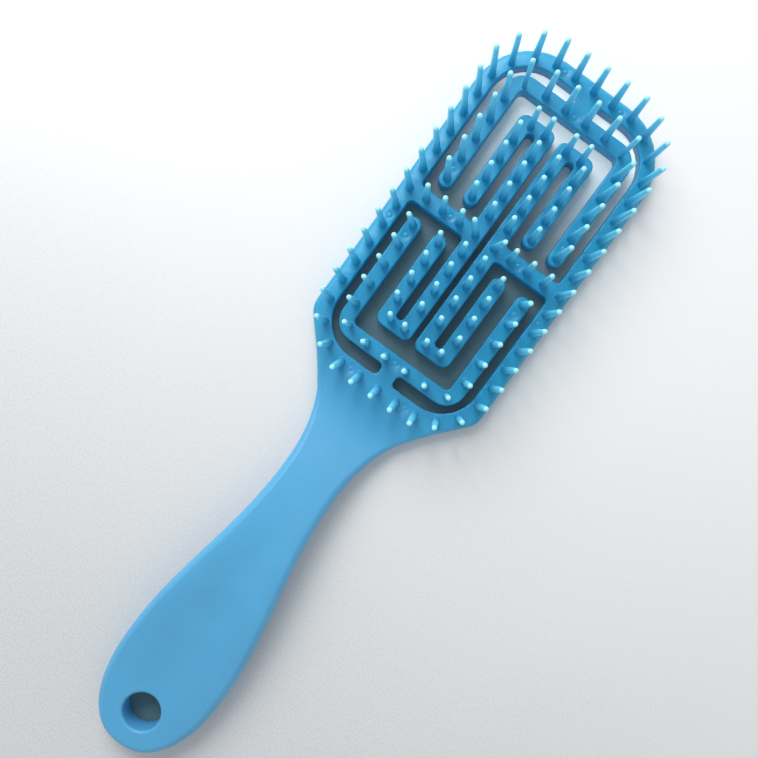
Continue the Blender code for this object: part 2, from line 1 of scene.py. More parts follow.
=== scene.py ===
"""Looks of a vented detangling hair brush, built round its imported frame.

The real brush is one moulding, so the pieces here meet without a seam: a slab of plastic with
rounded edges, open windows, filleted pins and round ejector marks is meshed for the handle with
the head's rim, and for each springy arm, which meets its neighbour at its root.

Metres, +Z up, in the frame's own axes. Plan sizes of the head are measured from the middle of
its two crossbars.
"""

import enum
import json
import logging
import math
from collections.abc import Callable, Iterable, Sequence
from dataclasses import dataclass, field

import bpy
import numpy as np
from mathutils import Matrix, Vector
from mathutils.geometry import delaunay_2d_cdt


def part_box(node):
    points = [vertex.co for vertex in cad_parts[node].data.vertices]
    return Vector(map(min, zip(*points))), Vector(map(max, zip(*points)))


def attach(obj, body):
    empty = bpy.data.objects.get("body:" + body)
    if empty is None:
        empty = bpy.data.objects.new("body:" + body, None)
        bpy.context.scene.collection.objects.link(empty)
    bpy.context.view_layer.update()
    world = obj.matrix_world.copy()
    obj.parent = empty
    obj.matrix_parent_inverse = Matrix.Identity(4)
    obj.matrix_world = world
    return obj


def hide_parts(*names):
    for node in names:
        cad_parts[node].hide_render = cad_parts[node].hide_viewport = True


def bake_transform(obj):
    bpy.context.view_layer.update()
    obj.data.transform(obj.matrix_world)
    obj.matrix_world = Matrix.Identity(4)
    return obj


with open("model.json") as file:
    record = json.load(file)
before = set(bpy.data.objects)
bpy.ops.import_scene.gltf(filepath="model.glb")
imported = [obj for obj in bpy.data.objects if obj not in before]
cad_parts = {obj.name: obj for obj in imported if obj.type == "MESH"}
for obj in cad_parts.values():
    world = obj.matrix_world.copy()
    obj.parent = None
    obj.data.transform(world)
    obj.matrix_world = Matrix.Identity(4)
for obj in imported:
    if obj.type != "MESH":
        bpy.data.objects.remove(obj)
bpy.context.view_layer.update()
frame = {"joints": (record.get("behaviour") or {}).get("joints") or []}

PHOTO_SIDE = 758
BLACK = (0.0, 0.0, 0.0, 1.0)

Colour = tuple[float, float, float, float]
Span = tuple[float, float]
Place = tuple[float, float, float]
Socket = bpy.types.NodeSocket
Face = Callable[[np.ndarray], np.ndarray]

log = logging.getLogger("hair_brush")


class Side(enum.Enum):
    """The two sides of the brush, seen from its pins with the head away."""

    LEFT = -1
    RIGHT = 1


class Half(enum.Enum):
    """The two halves of the head: the one at its tip, and the one at the handle."""

    UPPER = 1
    LOWER = -1


@dataclass(frozen=True)
class Graph:
    """A small helper that adds and wires the nodes of a material or of the world.

    Attributes:
        tree: The node tree that it adds them to.
    """

    tree: bpy.types.NodeTree

    MIX_COLOURS = (6, 7)
    MIX_RESULT = 2

    def node(self, kind: str, **settings: object) -> bpy.types.Node:
        """Adds a node.

        Args:
            kind: The node's class name without the word ShaderNode.
            settings: Properties to set on it.

        Returns:
            The node.
        """
        made = self.tree.nodes.new("ShaderNode" + kind)
        for name, value in settings.items():
            setattr(made, name, value)
        return made

    def feed(self, value: object, target: Socket) -> None:
        """Gives a socket its value.

        Args:
            value: A socket to wire to it, or a number, place or colour to set on it.
            target: The socket.
        """
        if isinstance(value, Socket):
            self.tree.links.new(value, target)
        else:
            target.default_value = value

    def maths(self, operation: str, *values: object) -> Socket:
        """Works with numbers.

        Args:
            operation: What to do with them.
            values: The numbers, or the sockets of them.

        Returns:
            The result.
        """
        made = self.node("Math", operation=operation)
        for value, target in zip(values, made.inputs):
            self.feed(value, target)
        return made.outputs["Value"]

    def vectors(self, operation: str, *values: object) -> Socket:
        """Works with places.

        Args:
            operation: What to do with them.
            values: The places, or the sockets of them.

        Returns:
            The result, which is a number where the operation is LENGTH.
        """
        made = self.node("VectorMath", operation=operation)
        for value, target in zip(values, made.inputs):
            self.feed(value, target)
        return made.outputs["Value" if operation == "LENGTH" else "Vector"]

    def coordinate(self, place: Socket, axis: str) -> Socket:
        """Takes one coordinate out of a place.

        Args:
            place: The socket of the place.
            axis: X, Y or Z.

        Returns:
            The coordinate.
        """
        split = self.node("SeparateXYZ")
        self.feed(place, split.inputs["Vector"])
        return split.outputs[axis]

    def noise(self, place: Socket, scale: float, detail: float = 3.0) -> Socket:
        """Adds a noise pattern.

        Args:
            place: The coordinates that it reads.
            scale: Repeats in a metre.
            detail: Octaves of finer noise.

        Returns:
            The noise's value.
        """
        made = self.node("TexNoise")
        made.inputs["Scale"].default_value = scale
        made.inputs["Detail"].default_value = detail
        self.feed(place, made.inputs["Vector"])
        return made.outputs["Fac"]

    def ramp(
        self, value: Socket, source: Span, target: Span = (0.0, 1.0), kind: str = "SMOOTHSTEP"
    ) -> Socket:
        """Carries a value from one range to another, and no further.

        Args:
            value: The socket to read.
            source: The value's lowest and highest point.
            target: What these become.
            kind: SMOOTHSTEP, or LINEAR.

        Returns:
            The new value.
        """
        made = self.node("MapRange", interpolation_type=kind)
        names = ("From Min", "From Max", "To Min", "To Max")
        for name, number in zip(names, (*source, *target)):
            made.inputs[name].default_value = number
        self.feed(value, made.inputs["Value"])
        return made.outputs["Result"]

    def mix(self, share: Socket, first: object, second: object) -> Socket:
        """Mixes two colours.

        Args:
            share: How much of the second colour shows.
            first: A colour, or the socket of one.
            second: A colour, or the socket of one.

        Returns:
            The mixed colour.
        """
        made = self.node("Mix", data_type="RGBA")
        self.feed(share, made.inputs["Factor"])
        for index, colour in zip(self.MIX_COLOURS, (first, second)):
            self.feed(colour, made.inputs[index])
        return made.outputs[self.MIX_RESULT]

    def bump(self, height: Socket, depth: float, under: Socket | None = None) -> Socket:
        """Adds relief.

        Args:
            height: The pattern that stands up.
            depth: How high it stands.
            under: The normal of the relief that it is laid over.

        Returns:
            The new normal.
        """
        made = self.node("Bump")
        made.inputs["Distance"].default_value = depth
        self.feed(height, made.inputs["Height"])
        if under is not None:
            self.feed(under, made.inputs["Normal"])
        return made.outputs["Normal"]

    def seen_share(self) -> Socket:
        """Gives 1 where the camera sees a surface, also by reflection or through glass.

        Returns:
            The share, as 0 or 1.
        """
        rays = self.node("LightPath")
        total = rays.outputs["Is Camera Ray"]
        for name in ("Is Glossy Ray", "Is Transmission Ray"):
            total = self.maths("MAXIMUM", total, rays.outputs[name])
        return total


def new_material(name: str) -> tuple[bpy.types.Material, Graph, bpy.types.Node]:
    """Makes a material with a Principled shader.

    Args:
        name: The material's name.

    Returns:
        The material, the graph that builds it, and its shader.
    """
    made = bpy.data.materials.new(name)
    made.use_nodes = True
    return made, Graph(made.node_tree), made.node_tree.nodes["Principled BSDF"]


@dataclass(frozen=True)
class MouldedPlastic:
    """Slightly cloudy polypropylene in sky blue.

    It is glossy and full in colour on the thick handle, and painted duller and deeper on the head's
    plate, as painted shade among the dense pins. Up the pins it is painted paler, as painted light
    that they catch, and near white at their tips, as a painted highlight.

    Attributes:
        thick: Its colour on the handle.
        plate_painted_shade: Its colour on the head's plate, darkened as painted shade.
        plate_y: Where along the brush it goes over from one to the other.
        pin: Its colour on a pin's shaft, paler than the plate as painted light.
        pin_rise: Where it turns to that, as shares of a pin's height.
        tip: Its colour on a pin's tip, near white as a painted highlight.
        tip_highlight_rise: Where it turns to that.
        flow: The share of the colour that is left in the streaks where the plastic flowed.
        flow_scale: Streaks in a metre.
        flow_range: The noise's values where they end and begin.
        roughness: The smoothest and the roughest places.
        wear_range: The values of scuffs and streaks together that give these.
        scuff_share: How much the scuffs count in them.
        shine: How strongly the surface reflects.
        grain_scale: Grains in a metre.
        grain_depth: How high the grain stands.
        ripple_scale: Slow waves in a metre.
        ripple_detail: Octaves of finer waves in them.
        ripple_depth: How high they stand.
        scuff_scale: Scuffs in a metre across the brush.
        scuff_detail: Octaves of finer scuffs in them.
        scuff_stretch: How they are drawn out along it.
        scuff_depth: How high they stand.
    """

    thick: Colour = (0.088, 0.396, 0.696, 1.0)
    plate_painted_shade: Colour = (0.008, 0.326, 0.578, 1.0)
    plate_y: Span = (-0.016, 0.030)
    pin: Colour = (0.175, 0.720, 0.960, 1.0)
    pin_rise: Span = (-0.08, 0.76)
    tip: Colour = (0.360, 0.860, 0.975, 1.0)
    tip_highlight_rise: Span = (0.92, 0.98)
    flow: float = 0.90
    flow_scale: float = 38.0
    flow_range: Span = (0.35, 0.68)
    roughness: Span = (0.34, 0.46)
    wear_range: Span = (0.45, 1.0)
    scuff_share: float = 0.5
    shine: float = 0.5
    grain_scale: float = 2600.0
    grain_depth: float = 0.000012
    ripple_scale: float = 210.0
    ripple_detail: float = 2.0
    ripple_depth: float = 0.00002
    scuff_scale: float = 900.0
    scuff_detail: float = 5.0
    scuff_stretch: Place = (1.0, 0.05, 1.0)
    scuff_depth: float = 0.000008

    def material(self, name: str) -> bpy.types.Material:
        """Makes the finish.

        Args:
            name: The material's name.

        Returns:
            The material.
        """
        made, graph, shader = new_material(name)
        place = graph.node("TexCoord").outputs["Object"]
        stretched = graph.node("Mapping")
        graph.feed(self.scuff_stretch, stretched.inputs["Scale"])
        graph.feed(place, stretched.inputs["Vector"])
        flow = graph.noise(place, self.flow_scale)
        grain = graph.noise(place, self.grain_scale)
        ripple = graph.noise(place, self.ripple_scale, self.ripple_detail)
        lengthwise = stretched.outputs["Vector"]
        scuff = graph.noise(lengthwise, self.scuff_scale, self.scuff_detail)

        rise = graph.node("Attribute", attribute_name=Slab.RISE).outputs["Fac"]
        # Painted shade: towards the head the plate is painted darker than the handle.
        along = graph.ramp(graph.coordinate(place, "Y"), self.plate_y)
        streaks = graph.ramp(flow, self.flow_range, (1.0, self.flow))
        body = graph.mix(streaks, BLACK, graph.mix(along, self.thick, self.plate_painted_shade))
        # Painted light: the pins are painted paler up their shafts, and near white at their tips as
        # a painted highlight.
        pins = graph.mix(graph.ramp(rise, self.pin_rise), body, self.pin)
        ends = graph.mix(graph.ramp(rise, self.tip_highlight_rise), pins, self.tip)
        graph.feed(ends, shader.inputs["Base Color"])

        worn = graph.maths("MULTIPLY_ADD", scuff, self.scuff_share, flow)
        rough = graph.ramp(worn, self.wear_range, self.roughness)
        graph.feed(rough, shader.inputs["Roughness"])

        relief = graph.bump(grain, self.grain_depth)
        relief = graph.bump(ripple, self.ripple_depth, relief)
        relief = graph.bump(scuff, self.scuff_depth, relief)
        graph.feed(relief, shader.inputs["Normal"])
        graph.feed(self.shine, shader.inputs["Specular IOR Level"])
        return made


@dataclass(frozen=True)
class PaleTable:
    """A pale table top with a faint weave, painted lighter at the far side as painted light.

    In the brush's openings it is painted dark, as painted shade of the head, from the root to the
    crossbars, and painted light towards the tip, where it also glows.

    Attributes:
        near: Its colour at the near side, between the threads.
        far: Its colour on the threads, and at the far side, where the lighter colour is painted
            light.
        fade: Where along the brush it goes over from one to the other.
        drift: How far that line wanders.
        drift_scale: Its bends in a metre.
        drift_detail: Octaves of finer bends in them.
        weave_scale: Threads in a metre.
        weave_detail: Octaves of finer threads in them.
        weave_range: The noise's values where the threads begin and end.
        weave_share: How much paler the threads are.
        weave_depth: How high they stand.
        roughness: Its roughness.
        painted_shade: Painted shade, its colour in the openings at the root, where the head shades
            the table.
        painted_light: Painted light, its colour in the openings at the tip, where light reaches
            under the head.
        clear: Where it goes over from one to the other, measured from the crossbars.
        opening_margin: How far under the brush the openings' painted shade and light reach.
        opening_softness: Half the width of its soft edge.
        painted_glow: How much brighter the openings shine at the root, as painted light.
        tip_painted_glow: The same at the tip.
        tip_painted_glow_y: Where one goes over to the other, measured from the crossbars.
        sweep: How far from the brush the table goes over into a brighter backdrop.
        sweep_glow: How much brighter that looks.
    """

    near: Colour = (0.610, 0.628, 0.638, 1.0)
    far: Colour = (0.860, 0.866, 0.872, 1.0)
    fade: Span = (-0.10, 0.14)
    drift: float = 0.06
    drift_scale: float = 9.0
    drift_detail: float = 6.0
    weave_scale: float = 1500.0
    weave_detail: float = 4.0
    weave_range: Span = (0.3, 0.7)
    weave_share: float = 0.35
    weave_depth: float = 0.00004
    roughness: float = 0.8
    painted_shade: Colour = (0.122, 0.210, 0.235, 1.0)
    painted_light: Colour = (0.935, 0.985, 0.950, 1.0)
    clear: Span = (-0.003, 0.036)
    opening_margin: float = 0.0024
    opening_softness: float = 0.0006
    painted_glow: float = 0.03
    tip_painted_glow: float = 0.56
    tip_painted_glow_y: Span = (0.034, 0.047)
    sweep: Span = (0.24, 0.75)
    sweep_glow: float = 0.42

    def rounded_box(
        self, graph: Graph, place: Socket, centre_y: float, half_size: Span, radius: float
    ) -> Socket:
        """Adds a mask that is 1 inside a rounded box, and 0 outside it.

        Args:
            graph: The graph to add it to.
            place: The coordinates that it reads.
            centre_y: The box's middle along the brush.
            half_size: Half its width and half its length.
            radius: The radius of its corners.

        Returns:
            The mask.
        """
        half_x, half_y = half_size
        folded = graph.vectors("ABSOLUTE", graph.vectors("SUBTRACT", place, (0, centre_y, 0)))
        beyond = graph.vectors("SUBTRACT", folded, (half_x - radius, half_y - radius, 0))
        distance = graph.vectors("LENGTH", graph.vectors("MAXIMUM", beyond, (0, 0, 0)))
        soft = self.opening_softness
        return graph.ramp(distance, (radius - soft, radius + soft), (1.0, 0.0))

    def openings(
        self, graph: Graph, place: Socket, plan: "HeadPlan", handle: "HandleForm"
    ) -> Socket:
        """Adds a mask that is 1 under the head's window and the hang hole, where the painted shade
        and light go.

        Args:
            graph: The graph to add it to.
            place: The coordinates that it reads.
            plan: The head's plan.
            handle: The handle's form.

        Returns:
            The mask.
        """
        margin = self.opening_margin
        window = (plan.window_x + margin, plan.window_y + margin)
        corner = plan.window_corner + margin
        head = self.rounded_box(graph, place, plan.centre_y, window, corner)
        radius = handle.hole_diameter / 2 + margin
        hole_y = plan.centre_y + handle.hole_y
        hole = self.rounded_box(graph, place, hole_y, (radius, radius), radius)
        return graph.maths("MAXIMUM", head, hole)

    def material(self, name: str, plan: "HeadPlan", handle: "HandleForm") -> bpy.types.Material:
        """Makes the finish.

        Args:
            name: The material's name.
            plan: The head's plan.
            handle: The handle's form.

        Returns:
            The material.
        """
        made, graph, shader = new_material(name)
        place = graph.node("TexCoord").outputs["Object"]
        along = graph.coordinate(place, "Y")
        weave = graph.noise(place, self.weave_scale, self.weave_detail)
        threads = graph.ramp(weave, self.weave_range, (0.0, self.weave_share))
        # Painted light: the table is painted lighter towards its far side.
        wander = graph.noise(place, self.drift_scale, self.drift_detail)
        fade = graph.ramp(graph.maths("MULTIPLY_ADD", wander, self.drift, along), self.fade)
        open_table = graph.mix(fade, graph.mix(threads, self.near, self.far), self.far)

        # Painted shade and painted light in the openings: dark from the root to the crossbars,
        # where the head shades the table, and light towards the tip, where light reaches under it.
        clear = graph.ramp(along, tuple(plan.centre_y + y for y in self.clear))
        painted_shade_and_light_mask = self.openings(graph, place, plan, handle)
        colour = graph.mix(painted_shade_and_light_mask, open_table, graph.mix(clear, self.painted_shade, self.painted_light))
        graph.feed(colour, shader.inputs["Base Color"])
        graph.feed(colour, shader.inputs["Emission Color"])

        backdrop = graph.ramp(
            graph.vectors("LENGTH", place), self.sweep, (0.0, self.sweep_glow)
        )
        # The openings shine as painted light, faintly at the root and strongly at the tip.
        brighter = tuple(plan.centre_y + y for y in self.tip_painted_glow_y)
        painted_glow = graph.ramp(along, brighter, (self.painted_glow, self.tip_painted_glow))
        total = graph.maths("ADD", backdrop, graph.maths("MULTIPLY", painted_shade_and_light_mask, painted_glow))
        strength = graph.maths("MULTIPLY", graph.seen_share(), total)
        graph.feed(strength, shader.inputs["Emission Strength"])

        graph.feed(graph.bump(weave, self.weave_depth), shader.inputs["Normal"])
        graph.feed(self.roughness, shader.inputs["Roughness"])
        return made


@dataclass(frozen=True)
class Corner:
    """A corner of an outline.

    Attributes:
        x: Its place across the brush.
        y: Its place along the brush, from the middle of the crossbars.
        radius: The radius that it is rounded to.
        cut: True if the stretch after it is where two pieces meet.
    """

    x: float
    y: float
    radius: float = 0.0
    cut: bool = False


@dataclass
class Loop:
    """A closed line with plastic on its left.

    Attributes:
        points: The line's points, as rows of x and y.
        cut: For each point, whether the stretch after it is where two pieces meet.
    """

    points: np.ndarray
    cut: np.ndarray

    LONGEST = 0.0016
    ARC_STEP = math.radians(11)
    LEAST_ARC_STEPS = 3
    TINY = 1e-6

    @classmethod
    def traced(cls, corners: Sequence[Corner]) -> "Loop":
        """Draws a loop through rounded corners.

        Args:
            corners: The corners in order, with the plastic on the left.

        Returns:
            The loop.
        """
        points: list[Vector] = []
        cuts: list[bool] = []
        arcs = [cls._arc(corners, i) for i in range(len(corners))]
        for i, arc in enumerate(arcs):
            points += arc
            cuts += [False] * len(arc)
            start, end = arc[-1], arcs[(i + 1) % len(arcs)][0]
            if corners[i].cut:
                cuts[-1] = True
                continue
            steps = max(1, math.ceil((end - start).length / cls.LONGEST - cls.TINY))
            for k in range(1, steps):
                points.append(start.lerp(end, k / steps))
                cuts.append(False)
        return cls(np.array([tuple(p) for p in points]), np.array(cuts))

    @classmethod
    def _arc(cls, corners: Sequence[Corner], index: int) -> list[Vector]:
        """The points that round one corner.

        Args:
            corners: The loop's corners.
            index: Which of them to round.

        Returns:
            The points, in order.
        """
        here = Vector((corners[index].x, corners[index].y))
        radius = corners[index].radius
        if not radius:
            return [here]
        before, after = corners[index - 1], corners[(index + 1) % len(corners)]
        back = (Vector((before.x, before.y)) - here).normalized()
        ahead = (Vector((after.x, after.y)) - here).normalized()
        turn = math.pi - back.angle(ahead)
        start = here + back * radius * math.tan(turn / 2)
        centre = here + (back + ahead).normalized() * (radius / math.cos(turn / 2))
        first = start - centre
        way = 1 if back.cross(first) > 0 else -1
        steps = max(cls.LEAST_ARC_STEPS, math.ceil(turn / cls.ARC_STEP))
        turns = (way * turn * k / steps for k in range(steps + 1))
        return [centre + Matrix.Rotation(angle, 2) @ first for angle in turns]

    def mirrored(self, side: Side, half: Half) -> "Loop":
        """The loop, drawn for the right side of the upper half, carried to another quarter.

        Args:
            side: The side of the brush.
            half: The half of the head.

        Returns:
            The loop there, with its plastic still on the left.
        """
        points = self.points * (side.value, half.value)
        if side.value * half.value > 0:
            return Loop(points, self.cut)
        return Loop(points[::-1], np.roll(self.cut[::-1], -1))

    def inward(self) -> np.ndarray:
        """How each point moves for one unit of inset, along the cut where it is at one.

        Returns:
            Rows of x and y.
        """
        ahead = np.roll(self.points, -1, axis=0) - self.points
        ahead /= np.linalg.norm(ahead, axis=1)[:, None]
        back = np.roll(ahead, 1, axis=0)
        left_ahead = np.stack([-ahead[:, 1], ahead[:, 0]], axis=1)
        left_back = np.roll(left_ahead, 1, axis=0)
        whole = left_ahead + left_back
        made = whole * (2 / (whole**2).sum(1))[:, None]
        cut_back = np.roll(self.cut, 1)
        for here, along, free in ((self.cut, ahead, left_back), (cut_back, back, left_ahead)):
            lean = (along * free).sum(1)
            lean = np.where(np.abs(lean) < self.TINY, 1.0, lean)
            made = np.where(here[:, None], along / lean[:, None], made)
        return made


def smooth(value: np.ndarray, start: float, end: float) -> np.ndarray:
    """A smooth step from 0 at start to 1 at end."""
    share = np.clip((value - start) / (end - start), 0, 1)
    return share * share * (3 - 2 * share)


def swell(value: np.ndarray, start: float, end: float) -> np.ndarray:
    """A smooth rise from 0 at start to 1 midway, and back to 0 at end."""
    return np.sin(math.pi * np.clip((value - start) / (end - start), 0, 1)) ** 2


@dataclass(frozen=True)
class HeadPlan:
    """The head's plan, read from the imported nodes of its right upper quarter.

    Attributes:
        end_slot: The slot between a loop's bar and the rim.
        bar_width: The width of a loop's bar.
        bridge_width: The width of the bridge that a loop hangs from.
        tip_corner: The radius of the outline's corners at the tip.
        window_corner: The radius of the window's corners.
        root_corner: The radius of the outline's corners at the neck.
        root_corner_drop: How far the rim's sides run down beyond the window.
        root_bar_width: The neck's width where the head begins.
        bridge_fillet: The fillet on both ends of a bridge.
        crossbar_fillet: The fillet between a crossbar and the rim.
        spine_fillet: The fillet between a spine and its crossbar.
        hairpin_outer: The radius of a hairpin turn's corner on its finger.
        hairpin_inner: The radius of its corner on its spine.
        loop_outer: The radius of a loop's outer corners.
        loop_inner: The radius of its inner corners, all that the leg's root leaves room for.
        part_gap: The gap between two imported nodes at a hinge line.
        centre_y: The middle of the crossbars, from which the places below are measured.
        thickness: The plate's thickness.
        pin_height: The height of a pin above the plate.
        half_width: Half the head's width.
        reach: The head's tip.
        root_y: Where the head ends and the neck begins.
        window_x: Half the window's width.
        window_y: Half its length.
        crossbar_edge: Half a crossbar's width.
        spine_inner: A spine's side towards the middle.
        spine_outer: A spine's side towards its finger.
        finger_inner: A finger's side towards its spine.
        finger_outer: A finger's side towards the loop's leg.
        leg_inner: A leg's side towards the finger.
        leg_outer: A leg's side towards the rim.
        free_end: The free ends of the legs and fingers.
        hairpin_y: The far side of a hairpin turn.
        finger_root: Where a finger grows out of its turn.
        leg_root: Where a leg grows out of its loop's bar.
        bar_outer: The bar's side towards the rim.
    """

    end_slot: float = 0.0037
    bar_width: float = 0.0046
    bridge_width: float = 0.0053
    tip_corner: float = 0.0185
    window_corner: float = 0.0120
    root_corner: float = 0.0070
    root_corner_drop: float = 0.0055
    root_bar_width: float = 0.0340
    bridge_fillet: float = 0.0014
    crossbar_fillet: float = 0.0015
    spine_fillet: float = 0.0013
    hairpin_outer: float = 0.0026
    hairpin_inner: float = 0.0023
    loop_outer: float = 0.0063
    loop_inner: float = 0.0017
    part_gap: float = 0.0003
    centre_y: float = field(init=False)
    thickness: float = field(init=False)
    pin_height: float = field(init=False)
    half_width: float = field(init=False)
    reach: float = field(init=False)
    root_y: float = field(init=False)
    window_x: float = field(init=False)
    window_y: float = field(init=False)
    crossbar_edge: float = field(init=False)
    spine_inner: float = field(init=False)
    spine_outer: float = field(init=False)
    finger_inner: float = field(init=False)
    finger_outer: float = field(init=False)
    leg_inner: float = field(init=False)
    leg_outer: float = field(init=False)
    free_end: float = field(init=False)
    hairpin_y: float = field(init=False)
    finger_root: float = field(init=False)
    leg_root: float = field(init=False)
    bar_outer: float = field(init=False)

    def __post_init__(self) -> None:
        """Reads the places from the frame."""
        joints = {joint["name"]: joint["pos_m"] for joint in frame["joints"]}
        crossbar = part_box("right_crossbar")
        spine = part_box("right_upper_spine")
        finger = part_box("right_upper_finger")
        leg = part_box("upper_loop_right_leg")
        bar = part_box("upper_loop_bar")
        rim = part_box("head_frame")
        centre = (crossbar[0].y + crossbar[1].y) / 2
        spine_line, spine_root, mid = joints["right_upper_spine_flex"]
        found = {
            "centre_y": centre,
            "thickness": 2 * mid,
            "pin_height": finger[1].z - 2 * mid,
            "half_width": rim[1].x,
            "reach": rim[1].y - centre,
            "root_y": rim[0].y - centre,
            "window_x": crossbar[1].x + self.part_gap,
            "window_y": bar[1].y - centre + self.part_gap,
            "crossbar_edge": spine_root - centre - self.part_gap / 2,
            "spine_inner": spine[0].x,
            "spine_outer": 2 * spine_line - spine[0].x,
            "finger_inner": finger[0].x,
            "finger_outer": finger[1].x,
            "leg_inner": leg[0].x,
            "leg_outer": leg[1].x,
            "free_end": finger[0].y - centre,
            "hairpin_y": spine[1].y - centre,
            "finger_root": joints["right_upper_finger_flex"][1] - centre,
            "leg_root": joints["upper_right_leg_flex"][1] - centre,
        }
        found["bar_outer"] = found["window_y"] - self.end_slot
        for name, value in found.items():
            object.__setattr__(self, name, value)

    @property
    def spine_root(self) -> float:
        """Where a spine's own piece begins, clear of its fillet on the crossbar."""
        return self.crossbar_edge + self.spine_fillet

    @property
    def bridge_cut(self) -> float:
        """Where the loop's own piece begins on its bridge, midway across the slot."""
        return self.window_y - self.end_slot / 2

    @property
    def spine_line(self) -> float:
        """The middle of a spine."""
        return (self.spine_inner + self.spine_outer) / 2

    @property
    def finger_line(self) -> float:
        """The middle of a finger."""
        return (self.finger_inner + self.finger_outer) / 2

    @property
    def leg_line(self) -> float:
        """The middle of a leg."""
        return (self.leg_inner + self.leg_outer) / 2


@dataclass(frozen=True)
class HandleForm:
    """The handle's plan and side profile.

    Attributes:
        plan: The head's plan.
        neck_width: The neck's width at its narrowest.
        neck_distance: How far that place lies behind the window.
        grip_width: The grip's width at its widest.
        grip_end: How far the handle's end lies behind that place.
        neck_thickness: The thickness at the narrowest place.
        grip_thickness: The thickness at the widest place.
        heel_thickness: The thickness at the end.
        heel_length: How much of the handle's end rests on the table.
        arch: How far the underside rises off the table.
        edge_reach: How far in the grip's rounding runs.
        edge_share: How far down it runs, as a share of the thickness.
        rim_edge: The radius of the rim's rounding.
        crown_reach: How far inside the rim's edge its top begins to fall away.
        crown_depth: How far it has fallen at the edge.
        crown_y: Where along the brush the crown begins, and where it is full.
        dish: The depth of the dish along the grip.
        least_flat: The least half width of the face between the roundings.
        flare_power: How late the neck widens towards the head.
        end_power: How square the handle's end is.
        hole_diameter: The hang hole's diameter.
        hole_inset: How far its middle lies in from the handle's end.
        hole_edge: The radius of its rim.
    """

    plan: HeadPlan
    neck_width: float = 0.0180
    neck_distance: float = 0.0360
    grip_width: float = 0.0342
    grip_end: float = 0.0290
    neck_thickness: float = 0.0068
    grip_thickness: float = 0.0092
    heel_thickness: float = 0.0082
    heel_length: float = 0.0200
    arch: float = 0.0050
    edge_reach: float = 0.0023
    edge_share: float = 0.40
    rim_edge: float = 0.0013
    crown_reach: float = 0.0042
    crown_depth: float = 0.0009
    crown_y: Span = (-0.043, -0.028)
    dish: float = 0.0017
    least_flat: float = 0.0020
    flare_power: float = 2.4
    end_power: float = 2.3
    hole_diameter: float = 0.0113
    hole_inset: float = 0.0125
    hole_edge: float = 0.0010

    @property
    def end_y(self) -> float:
        """The handle's end."""
        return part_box("handle")[0].y - self.plan.centre_y

    @property
    def neck_y(self) -> float:
        """The narrowest place."""
        return -self.plan.window_y - self.neck_distance

    @property
    def grip_y(self) -> float:
        """The widest place."""
        return self.end_y + self.grip_end

    @property
    def hole_y(self) -> float:
        """The middle of the hang hole."""
        return self.end_y + self.hole_inset

    def half_width(self, y: np.ndarray) -> np.ndarray:
        """Half the handle's width at places along it.

        Args:
            y: The places.

        Returns:
            The half widths.
        """
        neck, grip = self.neck_width / 2, self.grip_width / 2
        up = np.clip((y - self.neck_y) / (self.plan.root_y - self.neck_y), 0, 1)
        down = np.clip((self.neck_y - y) / (self.neck_y - self.grip_y), 0, 1)
        end = np.clip((self.grip_y - y) / self.grip_end, 0, 1)
        flare = neck + (self.plan.root_bar_width / 2 - neck) * up**self.flare_power
        waist = neck + (grip - neck) * (1 - np.cos(math.pi * down)) / 2
        heel = grip * (1 - end**self.end_power) ** (1 / self.end_power)
        return np.where(y < self.grip_y, heel, np.where(y < self.neck_y, waist, flare))

    def thickness(self, y: np.ndarray) -> np.ndarray:
        """The brush's thickness at places along it, from the plate to the handle's heel.

        Args:
            y: The places.

        Returns:
            The thicknesses.
        """
        stations = (
            (self.plan.root_y, self.plan.thickness),
            (self.neck_y, self.neck_thickness),
            (self.grip_y, self.grip_thickness),
            (self.end_y, self.heel_thickness),
        )
        made = np.full(len(y), self.plan.thickness)
        for (start, before), (end, after) in zip(stations, stations[1:]):
            made = made + (after - before) * smooth(y, start, end)
        return made

    def under(self, places: np.ndarray) -> np.ndarray:
        """The height of the underside at (x, y) places."""
        return self.arch * swell(places[:, 1], self.plan.root_y, self.end_y + self.heel_length)

    def top(self, places: np.ndarray) -> np.ndarray:
        """The height of the top face at (x, y) places, with the shallow dish along the grip.

        Args:
            places: The places.

        Returns:
            The heights.
        """
        y = places[:, 1]
        flat = np.maximum(self.half_width(y) - self.edge_reach, self.least_flat)
        across = np.clip(np.abs(places[:, 0]) / flat, 0, 1)
        dish = self.dish * swell(y, self.neck_y, self.end_y) * np.cos(math.pi / 2 * across) ** 2
        return self.under(places) + self.thickness(y) - dish - self.crown(places)

    def crown(self, places: np.ndarray) -> np.ndarray:
        """How far the rim's top falls away towards its outer edge at (x, y) places.

        Args:
            places: The places.

        Returns:
            How far it falls.
        """
        plan, radius = self.plan, self.plan.tip_corner
        side, end = plan.half_width - np.abs(places[:, 0]), plan.reach - places[:, 1]
        round_corner = radius - np.hypot(radius - side, radius - end)
        inset = np.where(np.maximum(side, end) < radius, round_corner, np.minimum(side, end))
        near = np.clip(1 - inset / self.crown_reach, 0, 1)
        return self.crown_depth * near**2 * smooth(places[:, 1], *self.crown_y)

    def edge(self, places: np.ndarray) -> tuple[np.ndarray, np.ndarray]:
        """How far the outer edge's rounding runs in and down at (x, y) places.

        Args:
            places: The places.

        Returns:
            How far in, and how far down.
        """
        y = places[:, 1]
        grown = smooth(y, self.plan.root_y, self.neck_y)
        reach = self.rim_edge + (self.edge_reach - self.rim_edge) * grown
        full = self.thickness(y) * self.edge_share
        fall = self.rim_edge + (full - self.rim_edge) * grown
        return reach, np.minimum(fall, full)


